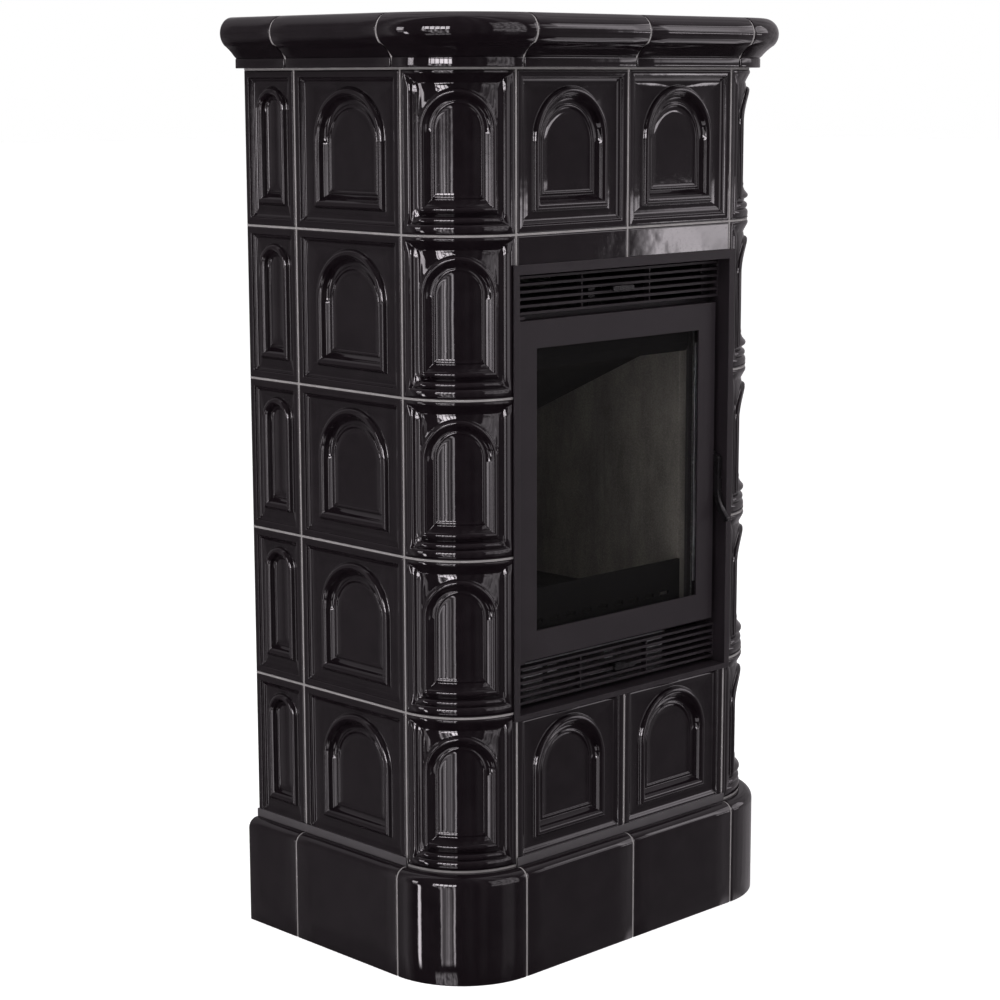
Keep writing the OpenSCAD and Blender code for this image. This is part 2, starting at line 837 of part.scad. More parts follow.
module air_box() {
  color(sheet_steel) at_front() {
    difference() {
      box(-air_half, air_half, air_y0, air_y1, air_z0, fire_z0);
      box(-air_half + air_wall, air_half - air_wall, air_y0 + air_wall, air_y1 - air_wall,
        air_z0 + air_wall, fire_z0 + cut);
      translate([0, air_y1 + cut, air_z]) rotate([90, 0, 0])
        cylinder(r = air_r - pipe_wall, h = air_wall + 2 * cut);
      slot_pair(0, air_y0 - cut, air_y0 + air_wall + cut,
        low_slide_z - low_slot_half, low_slide_z + low_slot_half);
    }
    for (side = [0, 1])
      translate([0, air_y0, low_slide_z]) mirror([0, 0, side]) rotate([90, 0, 0])
        along_x(-air_half, air_half) guide_section(low_plate_h / 2);
  }
}

// Lining boards, in two halves at each side and at the back, cut to the slope of the baffle
baffle_down = 3;
baffle_rear_z = flue_z - flue_r - baffle_t - baffle_down;
function baffle_z(y) = baffle_rear_z + (lining_y1 - y) * tan(baffle_slope);
board_gap = 0.5;

module side_lining() {
  mid = (lining_y0 + lining_y1) / 2;
  for (part = [[lining_y0, mid - board_gap / 2], [mid + board_gap / 2, lining_y1]])
    along_x(-fire_half + fire_wall, -lining_half)
      polygon([[part[0], hearth_z], [part[1], hearth_z],
        [part[1], min(baffle_z(part[1]), baffle_top) - clear],
        [part[0], min(baffle_z(part[0]), baffle_top) - clear]]);
}

smoke_room = 42;
baffle_top = fire_z1 - fire_wall - smoke_room;

module left_lining() {
  color(board) at_front() side_lining();
}

module right_lining() {
  mirror([1, 0, 0]) left_lining();
}

module rear_lining() {
  color(board) at_front() both_sides()
    box(-fire_half + fire_wall, -board_gap / 2, lining_y1, lining_y1 + lining_t,
      hearth_z, baffle_rear_z - clear);
}

brick_gap = 1;

module hearth_bricks() {
  inner_y0 = fire_y + brick_gap;
  color(board) at_front() difference() {
    box(-fire_half + fire_wall, fire_half - fire_wall, inner_y0, lining_y1 + lining_t,
      fire_z0 + fire_wall, hearth_z);
    box(-grate_w / 2, grate_w / 2, grate_y, grate_y + grate_d, hearth_z - grate_t, hearth_z + cut);
    box(-grate_w / 2 + brick_ledge, grate_w / 2 - brick_ledge, grate_y + brick_ledge,
      grate_y + grate_d - brick_ledge, fire_z0, hearth_z + cut);
  }
}

// Cast grate with slots in two rows
grate_bars = 11;
grate_gap = 0.5;
grate_rim = 11;

module grate() {
  w = grate_w - 2 * grate_gap;
  d = grate_d - 2 * grate_gap;
  step = (w - 2 * grate_rim) / grate_bars;
  slot = step / 2;
  color(iron) at_front() translate([-w / 2, grate_y + grate_gap, hearth_z - grate_t]) difference() {
    cube([w, d, grate_t]);
    for (i = [0 : grate_bars - 1], row = [0, 1])
      translate([grate_rim + (i + 0.5) * step - slot / 2, grate_rim + row * d / 2, -cut])
        cube([slot, d / 2 - 2 * grate_rim, grate_t + 2 * cut]);
  }
}

// Ash pan with a lip to lift it by
pan_wall = 1.5;
pan_h = 45;
pan_z = air_z0 + air_wall;
pan_gap = 4;
pull_half = 30;
pull_in = 18;

module ash_pan() {
  half = grate_w / 2 - brick_ledge - pan_gap;
  y0 = grate_y + brick_ledge + pan_gap;
  y1 = grate_y + grate_d - brick_ledge - pan_gap;
  color(sheet_steel) at_front() {
    difference() {
      box(-half, half, y0, y1, pan_z, pan_z + pan_h);
      box(-half + pan_wall, half - pan_wall, y0 + pan_wall, y1 - pan_wall,
        pan_z + pan_wall, pan_z + pan_h + cut);
    }
    box(-pull_half, pull_half, y0 + pan_wall, y0 + pull_in,
      pan_z + pan_h - 2 * pan_wall, pan_z + pan_h);
  }
}

// Log guard behind the door: a low plate with a folded foot
guard_h = 64;
guard_t = 5;
guard_foot = 20;
guard_gap = 2;
guard_slots = 9;
guard_slot_w = 20;
guard_slot_pitch = 34;
guard_slot_up = 12;
guard_slot_h = 6;

module log_guard() {
  y0 = fire_y + guard_gap;
  half = lining_half - guard_gap;
  slot_z = hearth_z + guard_slot_up;
  color(iron) at_front() difference() {
    union() {
      box(-half, half, y0, y0 + guard_t, hearth_z, hearth_z + guard_h);
      box(-half, half, y0, y0 + guard_foot, hearth_z, hearth_z + guard_t);
    }
    for (i = [0 : guard_slots - 1]) {
      x = (i - (guard_slots - 1) / 2) * guard_slot_pitch;
      box(x - guard_slot_w / 2, x + guard_slot_w / 2, y0 - cut, y0 + guard_t + cut,
        slot_z, slot_z + guard_slot_h);
    }
  }
}

// Sloping baffle board, lying on the side and rear linings
baffle_in = 95;
baffle_gap = 1;

module baffle() {
  half = fire_half - fire_wall - baffle_gap;
  y1 = lining_y1 + lining_t;
  t = baffle_t / cos(baffle_slope);
  flat_y = lining_y1 - (baffle_top - baffle_rear_z) / tan(baffle_slope);
  y0 = max(lining_y0 + baffle_in, flat_y);
  color(board) at_front() along_x(-half, half)
    polygon([[y1, baffle_rear_z], [lining_y1, baffle_rear_z], [y0, baffle_z(y0)],
      [y0, baffle_z(y0) + t], [lining_y1, baffle_rear_z + t], [y1, baffle_rear_z + t]]);
}

// Air deflector above the glass: a folded strip that turns the air down over the pane
deflector_drop = 34;
deflector_lip = 14;
deflector_out = 6;

module air_deflector() {
  lip_z = pane_z1 - deflector_drop;
  fold_z = lip_z + deflector_lip;
  lip_y = fire_y + deflector_out;
  color(steel) at_front() {
    box(-throat_half, throat_half, fire_y, fire_y + sheet, fold_z, fire_z1 - fire_wall);
    along_x(-throat_half, throat_half)
      polygon([[fire_y, fold_z], [fire_y + sheet, fold_z], [lip_y + sheet, lip_z], [lip_y, lip_z]]);
  }
}

// Flue collar and air spigot: tube, fixing flange and the ring that stops the pipe
stop_t = 5;
stop_w = 3;

module pipe_stub(z, r, flange, y0) {
  end = body_d + pipe_out;
  at_front() translate([0, y0, z]) rotate([-90, 0, 0]) difference() {
    union() {
      cylinder(r = r + flange, h = flange_t);
      cylinder(r = r, h = end - y0);
      translate([0, 0, body_d - stop_t - y0]) cylinder(r = r + stop_w, h = stop_t);
    }
    translate([0, 0, -cut]) cylinder(r = r - pipe_wall, h = end - y0 + 2 * cut);
  }
}

module flue_collar() {
  color(steel) pipe_stub(flue_z, flue_r, flange_w, fire_y1);
}

module air_spigot() {
  color(sheet_steel) pipe_stub(air_z, air_r, air_h / 2 - air_r, air_y1);
}

// Hinge brackets on the front plate, with the pins that carry the door
bracket_t = 4;
bracket_gap = 2;
pin_in = 18;
bracket_half = 8;
bracket_front = 7;

module hinge_brackets() {
  top = door_z1 + bracket_gap;
  low = door_z0 - clear - bracket_t;
  color(steel) at_front() {
    for (z = [top, low])
      box(hinge_x - bracket_half, hinge_x + bracket_half, hinge_y - bracket_front, front_plate_y,
        z, z + bracket_t);
    translate([hinge_x, hinge_y, door_z1 - pin_in])
      cylinder(r = hinge_pin_r, h = pin_in + bracket_gap + bracket_t);
    translate([hinge_x, hinge_y, low]) cylinder(r = hinge_pin_r, h = bracket_t + clear + pin_in);
  }
}

// Door: folded steel face with bushes for the hinge pins and a channel for the rope seal
channel_in = 2 * bush_r;
channel_w = 12;
channel_wall = 1.5;
channel_deep = 7;
hub_wall = 5;
boss_wall = 3;
bush_over = 2;
hub_r = spindle_r + hub_wall;

module door_ring(inset, wall, y0, y1) {
  ring(door_half - inset, door_z0 + inset, door_z1 - inset, wall, wall, wall, y0, y1);
}

module door_frame() {
  boss_x = hook_x + hook_w + clear;
  color(steel) at_front() difference() {
    union() {
      ring(door_half, door_z0, door_z1, stile_w, rail_low, rail_top, door_y, door_y + door_t);
      door_ring(0, sheet, door_y + door_t, door_back);
      door_ring(channel_in, channel_wall, door_y + door_t, door_back);
      door_ring(channel_in + channel_w - channel_wall, channel_wall, door_y + door_t, door_back);
      door_ring(channel_in, channel_w, door_back - channel_deep - channel_wall, door_back - channel_deep);
      for (z = [door_z0, door_z1 - pin_in - bush_over])
        translate([hinge_x, hinge_y, z]) cylinder(r = bush_r, h = pin_in + bush_over);
      translate([boss_x, spindle_y, spindle_z]) rotate([0, 90, 0])
        cylinder(r = spindle_r + boss_wall, h = door_half - boss_x);
    }
    translate([hinge_x, hinge_y, door_z0 - cut])
      cylinder(r = hinge_pin_r + running, h = pin_in + clear + cut);
    translate([hinge_x, hinge_y, door_z1 - pin_in - clear])
      cylinder(r = hinge_pin_r + running, h = pin_in + clear + cut);
    translate([boss_x - cut, spindle_y, spindle_z]) rotate([0, 90, 0])
      cylinder(r = spindle_r + running, h = door_half - boss_x + 2 * cut);
  }
}

// Pane between a flat seal and the retaining strips
seal_t = 1.5;
seal_in = 2;
glass_lap = 10;
glass_y = door_y + door_t + seal_t;

module door_glass() {
  color([0.1, 0.1, 0.1, 0.4]) at_front()
    box(-pane_half - glass_lap, pane_half + glass_lap, glass_y, glass_y + glass_t,
      pane_z0 - glass_lap, pane_z1 + glass_lap);
}

module glass_gasket() {
  w = glass_lap - seal_in;
  color(mortar) at_front()
    ring(pane_half + glass_lap, pane_z0 - glass_lap, pane_z1 + glass_lap, w, w, w,
      door_y + door_t, glass_y);
}

module door_gasket() {
  w = channel_w - 2 * channel_wall;
  color(mortar) at_front()
    door_ring(channel_in + channel_wall, w, door_back - channel_deep, front_plate_y - clear);
}

// Strips that hold the pane, notched at the corners, each with a folded lip on the glass
lip_t = 1.5;
lip_in = 8;
notch = 20;

module glass_retainers() {
  edge = glass_lap + clear;
  x1 = pane_half - notch;
  z0 = pane_z0 + notch;
  z1 = pane_z1 - notch;
  y_lip = glass_y + glass_t;
  color(sheet_steel) at_front() {
    for (z = [pane_z0 - edge - lip_t, pane_z1 + edge])
      box(-x1, x1, door_y + door_t, y_lip, z, z + lip_t);
    for (z = [pane_z0 - edge - lip_t, pane_z1 + edge - lip_in])
      box(-x1, x1, y_lip, y_lip + lip_t, z, z + lip_t + lip_in);
    both_sides() {
      box(-pane_half - edge - lip_t, -pane_half - edge, door_y + door_t, y_lip, z0, z1);
      box(-pane_half - edge - lip_t, -pane_half - edge + lip_in, y_lip, y_lip + lip_t, z0, z1);
    }
  }
}

screw_r = 3.5;
screw_h = 2.5;
screw_out = 1;
screw_end = 60;
screw_x = 90;

module retainer_screws() {
  y = glass_y + glass_t + lip_t;
  out = glass_lap - lip_in / 2 + screw_out;
  side_x = pane_half + out;
  places = concat(
    [for (x = [-side_x, side_x], z = [pane_z0 + screw_end, (pane_z0 + pane_z1) / 2, pane_z1 - screw_end])
      [x, z]],
    [for (x = [-screw_x, screw_x], z = [pane_z0 - out, pane_z1 + out]) [x, z]]);
  color(sheet_steel) at_front() for (place = places)
    translate([place[0], y, place[1]]) rotate([-90, 0, 0]) cylinder(r = screw_r, h = screw_h, $fn = 6);
}

// Handle: a flat lever on the door's free edge that hangs down and curves forward
lever_t = 8;
lever_gap = 1;
lever_x = door_half + lever_gap;
lever_y = -16;
lever_bend = -4;
lever_straight = 50;
lever_curve = 65;
lever_turn = 44;
tip_r = 4.5;

module lever_outline() {
  tip = [lever_y - lever_curve * (1 - cos(lever_turn)), -lever_straight - lever_curve * sin(lever_turn)];
  bend = [lever_y, lever_bend];
  circle(hub_r);
  bar2d([0, 0], bend, lever_t);
  translate(bend) circle(lever_t / 2);
  bar2d(bend, [lever_y, -lever_straight], lever_t);
  translate([lever_y - lever_curve, -lever_straight]) intersection() {
    difference() {
      circle(lever_curve + lever_t / 2);
      circle(lever_curve - lever_t / 2);
    }
    polygon([[0, 0], [2 * lever_curve, 0],
      2 * lever_curve * [cos(lever_turn), -sin(lever_turn)]]);
  }
  translate(tip) circle(tip_r);
}

module door_handle() {
  color(steel) at_front() translate([0, spindle_y, spindle_z]) difference() {
    along_x(lever_x, lever_x + lever_w) lever_outline();
    translate([lever_x - cut, 0, 0]) rotate([0, 90, 0])
      cylinder(r = spindle_r + running, h = lever_w + 2 * cut);
  }
}

module handle_spindle() {
  color(sheet_steel) at_front() translate([hook_x, spindle_y, spindle_z]) rotate([0, 90, 0])
    cylinder(r = spindle_r, h = lever_x + lever_w - hook_x);
}

// Latch: the hook passes through the slot, and rises behind the keeper when the handle is
// pressed towards the door. It is drawn just released, below the keeper.
keeper_t = 3;
keeper_gap = 1;
hook_wall = 3;
hook_arm = 8;
hook_start = -3;
hook_end = -9;
tooth = 5;
tooth_drop = 1;

module latch_hook() {
  tooth_y = fire_y + keeper_t + keeper_gap - spindle_y;
  color(steel) at_front() translate([0, spindle_y, spindle_z]) difference() {
    along_x(hook_x, hook_x + hook_w) {
      circle(spindle_r + hook_wall);
      bar2d([0, hook_start], [tooth_y + tooth, hook_end], hook_arm);
      translate([tooth_y, hook_end]) square([tooth, -hook_end - tooth_drop]);
    }
    translate([hook_x - cut, 0, 0]) rotate([0, 90, 0])
      cylinder(r = spindle_r + running, h = hook_w + 2 * cut);
  }
}

// Keeper plate behind the slot in the front plate, held by two screws
keeper_h = 30;
keeper_margin = 2;
keeper_screw_in = 5;
keeper_screw_up = 20;
keeper_screw_r = 4;
keeper_screw_h = 3;

module latch_keeper() {
  x0 = hook_x - keeper_margin;
  x1 = in_half - keeper_margin;
  color(sheet_steel) at_front() {
    box(x0, x1, fire_y, fire_y + keeper_t, spindle_z + tooth_drop, spindle_z + keeper_h);
    for (x = [x0 + keeper_screw_in, x1 - keeper_screw_in])
      translate([x, fire_y + keeper_t, spindle_z + keeper_screw_up]) rotate([-90, 0, 0])
        cylinder(r = keeper_screw_r, h = keeper_screw_h, $fn = 6);
  }
}

// Sliders: an oval tab in front of the grille on a stem that passes between two slats
tab_w = 44;
tab_h = 7;
tab_t = 4;
stem_w = 14;
stem_gap = 1;
stem_h = slat_pitch - slat_h - 2 * stem_gap;

module tab(y0, z) {
  translate([0, y0, z]) rotate([-90, 0, 0]) linear_extrude(tab_t) {
    square([tab_w - tab_h, tab_h], center = true);
    for (s = [-1, 1]) translate([s * (tab_w - tab_h) / 2, 0]) circle(tab_h / 2);
  }
}

module slot_pair(shift, y0, y1, z0, z1) {
  for (x = [-air_slot_x, air_slot_x])
    box(x + shift - air_slot_w / 2, x + shift + air_slot_w / 2, y0, y1, z0, z1);
}

module lower_slider() {
  y1 = air_y0 - clear;
  y0 = y1 - slide_t;
  z = low_slide_z;
  color(steel) at_front() {
    tab(0, z);
    box(-stem_w / 2, stem_w / 2, tab_t, y0, z - stem_h / 2, z + stem_h / 2);
    difference() {
      box(-slide_half, slide_half, y0, y1, z - low_plate_h / 2, z + low_plate_h / 2);
      slot_pair(-slider_x, y0 - cut, y1 + cut, z - low_slot_half, z + low_slot_half);
    }
  }
}

tab_out = 12;
leg_in = 16;
leg_t = 3;

module upper_slider() {
  z = top_slide_z;
  z0 = fire_z1 + clear;
  z1 = z0 + slide_t;
  tab_y = grille_y - tab_out;
  leg_y = top_plate_y + leg_in;
  color(steel) at_front() {
    tab(tab_y, z);
    box(-stem_w / 2, stem_w / 2, tab_y + tab_t, leg_y + leg_t, z - stem_h / 2, z + stem_h / 2);
    box(-stem_w / 2, stem_w / 2, leg_y, leg_y + leg_t, z1, z - stem_h / 2);
    difference() {
      box(-slide_half, slide_half, top_plate_y, top_plate_y + top_plate_w, z0, z1);
      slot_pair(-slider_x, top_slot_y0, top_slot_y1, z0 - cut, z1 + cut);
    }
  }
}

plinth_left_corner();
plinth_right_corner();
plinth_front();
plinth_left();
plinth_right();
left_corner_tiles();
right_corner_tiles();
left_side_tiles();
right_side_tiles();
left_half_tiles();
right_half_tiles();
top_tile_left();
top_tile_right();
lintel_tiles();
bottom_tile_left();
bottom_tile_right();
cornice_left_corner();
cornice_right_corner();
cornice_front();
cornice_left();
cornice_right();
grout();
ledge_trim();
base_slab();
cover_slab();
back_panel();
insert_stand();
levelling_feet();
insert_frame();
upper_grille();
lower_grille();
firebox_front();
firebox_shell();
air_box();
left_lining();
right_lining();
rear_lining();
hearth_bricks();
grate();
ash_pan();
log_guard();
baffle();
air_deflector();
flue_collar();
air_spigot();
hinge_brackets();
latch_keeper();
door_frame();
door_glass();
glass_gasket();
door_gasket();
glass_retainers();
retainer_screws();
door_handle();
handle_spindle();
latch_hook();
upper_slider();
lower_slider();
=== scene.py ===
import math

import bmesh
import bpy
from mathutils import Matrix, Vector


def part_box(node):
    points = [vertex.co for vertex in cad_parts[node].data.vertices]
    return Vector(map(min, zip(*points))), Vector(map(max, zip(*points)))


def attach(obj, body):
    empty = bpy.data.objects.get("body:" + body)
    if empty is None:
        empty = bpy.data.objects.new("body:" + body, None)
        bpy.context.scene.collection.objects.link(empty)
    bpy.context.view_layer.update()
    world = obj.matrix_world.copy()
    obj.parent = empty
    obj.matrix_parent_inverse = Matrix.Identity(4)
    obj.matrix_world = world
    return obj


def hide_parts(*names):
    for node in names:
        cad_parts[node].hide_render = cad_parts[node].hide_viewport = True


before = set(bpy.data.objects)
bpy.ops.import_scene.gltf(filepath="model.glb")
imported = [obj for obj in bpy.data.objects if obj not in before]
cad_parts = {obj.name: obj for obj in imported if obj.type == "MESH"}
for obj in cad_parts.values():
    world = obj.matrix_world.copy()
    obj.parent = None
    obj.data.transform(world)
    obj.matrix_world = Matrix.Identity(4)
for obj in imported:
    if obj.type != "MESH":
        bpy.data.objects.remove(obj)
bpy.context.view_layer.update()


# Base slab and back panel. The slab is cast concrete that stands inside the plinth, and the panel
# is a fibre-cement board screwed into the recess behind the tiles. Both are dusty grey and matt.
# Sizes in this script are millimetres unless they say otherwise, and MM turns them into metres.
MM = 0.001
WELD_GAP = 0.01
EASED_FROM = 35


def add_node(tree, kind, inputs=None, **settings):
    """A shader node with its settings, whose inputs are values or the outputs of other nodes."""
    made = tree.nodes.new(kind)
    for name, value in settings.items():
        setattr(made, name, value)
    for socket, value in (inputs or {}).items():
        if isinstance(value, bpy.types.NodeSocket):
            tree.links.new(value, made.inputs[socket])
        else:
            made.inputs[socket].default_value = value
    return made


def mix_colour(tree, share, first, second):
    """Two colours mixed by a share. The Mix node keeps colours at inputs 6 and 7 and output 2."""
    mixed = add_node(tree, "ShaderNodeMix", {0: share, 6: first, 7: second}, data_type="RGBA")
    return mixed.outputs[2]


def spread(tree, value, low, high, to_low=0.0, to_high=1.0):
    """Stretches a value from one range to another, and holds it inside the second."""
    made = add_node(tree, "ShaderNodeMapRange", {0: value, 1: low, 2: high, 3: to_low, 4: to_high})
    return made.outputs[0]


def noise_of(tree, place, scale, detail=2.0, roughness=0.5):
    made = add_node(tree, "ShaderNodeTexNoise",
                    {"Vector": place, "Scale": scale, "Detail": detail, "Roughness": roughness})
    return made.outputs["Fac"]


def new_group(name, inputs, outputs):
    """An empty node group with float inputs and outputs, and its two end nodes."""
    tree = bpy.data.node_groups.new(name, "ShaderNodeTree")
    for label, value in inputs.items():
        socket = tree.interface.new_socket(name=label, in_out="INPUT", socket_type="NodeSocketFloat")
        socket.default_value = value
    for label in outputs:
        tree.interface.new_socket(name=label, in_out="OUTPUT", socket_type="NodeSocketFloat")
    return tree, tree.nodes.new("NodeGroupInput"), tree.nodes.new("NodeGroupOutput")


# Grain: a coarse mottle and a fine tooth, as sand, mill scale or paint leaves on a surface
grain, grain_in, grain_out = new_group(
    "Surface grain", {"Fine scale": 900.0, "Coarse scale": 40.0}, ["Mottle", "Tooth"])
grain_place = add_node(grain, "ShaderNodeTexCoord").outputs["Object"]
grain.links.new(noise_of(grain, grain_place, grain_in.outputs["Coarse scale"], 5.0, 0.6),
                grain_out.inputs["Mottle"])
grain.links.new(noise_of(grain, grain_place, grain_in.outputs["Fine scale"], 2.0, 0.7),
                grain_out.inputs["Tooth"])


def new_material(name, metallic=0.0, ior=1.5):
    """A material with its node tree and its one Principled shader."""
    made = bpy.data.materials.new(name)
    made.use_nodes = True
    shader = made.node_tree.nodes["Principled BSDF"]
    shader.inputs["Metallic"].default_value = metallic
    shader.inputs["IOR"].default_value = ior
    return made, made.node_tree, shader


def grained(name, dark, light, rough, tooth_mm, fine, coarse, metallic=0.0, shine=0.5):
    """A material whose colour and roughness follow the grain, with a fine relief."""
    made, tree, shader = new_material(name, metallic)
    shader.inputs["Specular IOR Level"].default_value = shine
    place = add_node(tree, "ShaderNodeGroup", {}, node_tree=grain)
    place.inputs["Fine scale"].default_value = fine
    place.inputs["Coarse scale"].default_value = coarse
    mottle = spread(tree, place.outputs["Mottle"], 0.3, 0.7)
    tree.links.new(mix_colour(tree, mottle, (*dark, 1), (*light, 1)), shader.inputs["Base Color"])
    tree.links.new(spread(tree, mottle, 0, 1, *rough), shader.inputs["Roughness"])
    bump = add_node(tree, "ShaderNodeBump",
                    {"Height": place.outputs["Tooth"], "Distance": tooth_mm * MM, "Strength": 1.0})
    tree.links.new(bump.outputs["Normal"], shader.inputs["Normal"])
    return made


def dress(material, *names):
    """Gives CAD nodes this material in every one of their slots."""
    for name in names:
        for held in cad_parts[name].material_slots:
            held.material = material


def ease_edges(width_mm, *names):
    """Rounds the sharp edges of CAD nodes by a modifier, so that they catch the light."""
    for name in names:
        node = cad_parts[name]
        weld = node.modifiers.new("Weld", "WELD")
        weld.merge_threshold = WELD_GAP * MM
        bevel = node.modifiers.new("Eased edges", "BEVEL")
        bevel.width = width_mm * MM
        bevel.segments = 2
        bevel.limit_method = "ANGLE"
        bevel.angle_limit = math.radians(EASED_FROM)
        bevel.harden_normals = True
        bevel.use_clamp_overlap = True


concrete = grained("cast_concrete", (0.33, 0.32, 0.30), (0.47, 0.46, 0.43), rough=(0.8, 0.95),
                   tooth_mm=0.6, fine=260, coarse=14)
cement_board = grained("fibre_cement", (0.42, 0.41, 0.38), (0.53, 0.52, 0.49), rough=(0.75, 0.9),
                       tooth_mm=0.2, fine=700, coarse=25)
dress(concrete, "base_slab")
dress(cement_board, "back_panel")
ease_edges(2.0, "base_slab")
ease_edges(0.8, "back_panel")


# Stand, firebox and fittings. The stand is square tube and the firebox is folded and welded plate,
# both under black heat-proof paint. The feet, air box, ash pan and small fittings are zinc plated.
heat_paint = grained("heat_proof_paint", (0.03, 0.028, 0.029), (0.05, 0.047, 0.048),
                     rough=(0.5, 0.7), tooth_mm=0.12, fine=1400, coarse=30, shine=0.25)
zinc = grained("zinc_plate", (0.42, 0.43, 0.44), (0.6, 0.61, 0.62), rough=(0.3, 0.48),
               tooth_mm=0.05, fine=1800, coarse=60, metallic=1.0)
dress(heat_paint, "insert_stand", "firebox_shell", "flue_collar")
dress(zinc, "levelling_feet", "air_box", "ash_pan", "air_spigot", "glass_retainers",
      "retainer_screws", "handle_spindle", "latch_keeper")
ease_edges(1.2, "insert_stand")
ease_edges(0.5, "ash_pan", "glass_retainers", "latch_keeper")


# Glaze, which every ceramic piece wears: a thick black transparent coat, fired to a mirror over
# red clay. It flows a little, so it lies in slow waves, pools in the hollows and thins on arrises.
GLAZE_THICK = (0.0066, 0.0042, 0.0058, 1)
GLAZE_THIN = (0.0165, 0.0122, 0.0148, 1)
GLAZE_IOR = 1.45
GLAZE_ROUGH = 0.035
WAVE_MM = 0.55
WAVE_SCALE = 9.0
RIPPLE_SCALE = 55.0
RIPPLE_SHARE = 0.10
POOL_SCALE = 30.0
SPECK_SCALE = 420.0


def math_value(tree, operation, *values):
    return add_node(tree, "ShaderNodeMath", dict(enumerate(values)), operation=operation).outputs[0]


glaze_flow, flow_in, flow_out = new_group(
    "Glaze flow", {"Wave scale": WAVE_SCALE, "Ripple scale": RIPPLE_SCALE}, ["Waves", "Pool", "Specks"])
flow_place = add_node(glaze_flow, "ShaderNodeTexCoord").outputs["Object"]
slow_wave = noise_of(glaze_flow, flow_place, flow_in.outputs["Wave scale"], 1.0, 0.4)
ripple = noise_of(glaze_flow, flow_place, flow_in.outputs["Ripple scale"], 1.0, 0.5)
glaze_flow.links.new(
    math_value(glaze_flow, "MULTIPLY_ADD", ripple, RIPPLE_SHARE, slow_wave), flow_out.inputs["Waves"])
glaze_flow.links.new(noise_of(glaze_flow, flow_place, POOL_SCALE, 3.0, 0.6), flow_out.inputs["Pool"])
glaze_flow.links.new(noise_of(glaze_flow, flow_place, SPECK_SCALE, 1.0, 0.5), flow_out.inputs["Specks"])

black_glaze, tree, shader = new_material("black_glaze", ior=GLAZE_IOR)
flow = add_node(tree, "ShaderNodeGroup", {}, node_tree=glaze_flow)
flow.inputs["Wave scale"].default_value = WAVE_SCALE
flow.inputs["Ripple scale"].default_value = RIPPLE_SCALE
edge = add_node(tree, "ShaderNodeNewGeometry").outputs["Pointiness"]
thin = spread(tree, edge, 0.505, 0.56)
pooled = spread(tree, flow.outputs["Pool"], 0.35, 0.7, 0.0, 0.35)
thinness = math_value(tree, "MAXIMUM", thin, pooled)
tree.links.new(mix_colour(tree, thinness, GLAZE_THICK, GLAZE_THIN), shader.inputs["Base Color"])
speckled = spread(tree, flow.outputs["Specks"], 0.62, 0.75, 0.0, 0.06)
tree.links.new(math_value(tree, "ADD", speckled, GLAZE_ROUGH), shader.inputs["Roughness"])
bump = add_node(tree, "ShaderNodeBump",
                {"Height": flow.outputs["Waves"], "Distance": WAVE_MM * MM, "Strength": 1.0})
tree.links.new(bump.outputs["Normal"], shader.inputs["Normal"])


# Plinth: moulded angle pieces that carry the lowest course, glazed outside, with a rounded upper
# edge. They stand on the floor round the slab. Plinth, tiles and cornice share the same sizes and
# are set round a rectangle with quarter-round front corners.
TILE = 220
JOINT = 3
CORNER_R = 110
PLINTH_H = 160
PLINTH_OUT = 20
PLINTH_ROUND = 15
PLINTH_WALL = 14
PLINTH_BACK = 26
PLINTH_FOOT_ROUND = 1.5
BODY_HALF = CORNER_R + TILE + 1.5 * JOINT
BODY_D = CORNER_R + TILE + TILE / 2 + 2 * JOINT
FRONT_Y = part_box("top_tile_left")[0].y / MM
GLAZED = {"body": "stove", "slot": "glaze", "material": black_glaze}
SHARP_FROM = 48
SAME_POINT = 0.02
NO_LENGTH = 0.005
SHARPEST_CORNER = 0.5
BEND_STEPS = 40
STRAIGHT_STEPS = 6
SHORT_STEPS = 4


def solid_from(name, points, faces, body, slot, material, replaced):
    """A shaded mesh piece from points in millimetres, which stands for CAD nodes."""
    mesh = bpy.data.meshes.new(name)
    mesh.from_pydata([Vector(p) * MM for p in points], [], faces)
    work = bmesh.new()
    work.from_mesh(mesh)
    bmesh.ops.remove_doubles(work, verts=work.verts, dist=SAME_POINT * MM)
    bmesh.ops.dissolve_degenerate(work, edges=work.edges, dist=NO_LENGTH * MM)
    bmesh.ops.recalc_face_normals(work, faces=work.faces)
    work.to_mesh(mesh)
    work.free()
    mesh.polygons.foreach_set("use_smooth", [True] * len(mesh.polygons))
    mesh.set_sharp_from_angle(angle=math.radians(SHARP_FROM))
    made = bpy.data.objects.new(name, mesh)
    bpy.context.scene.collection.objects.link(made)
    mesh.materials.append(material)
    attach(made, body)
    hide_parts(*replaced)
    return made


def stitch(rows):
    """The points of closed rows that have the same count, and the faces between the rows."""
    count = len(rows[0])
    points = [p for row in rows for p in row]
    faces = []
    for k in range(len(rows) - 1):
        for i in range(count):
            j = (i + 1) % count
            faces.append((k * count + i, k * count + j, (k + 1) * count + j, (k + 1) * count + i))
    return points, faces


def mirrored(points):
    return [(-x, y, z) for x, y, z in points]


def arc(centre, radius, start, end, steps):
    """Points of an arc in a flat drawing, from one angle to another in degrees."""
    turns = [math.radians(start + (end - start) * i / steps) for i in range(steps + 1)]
    return [(centre[0] + radius * math.cos(t), centre[1] + radius * math.sin(t)) for t in turns]


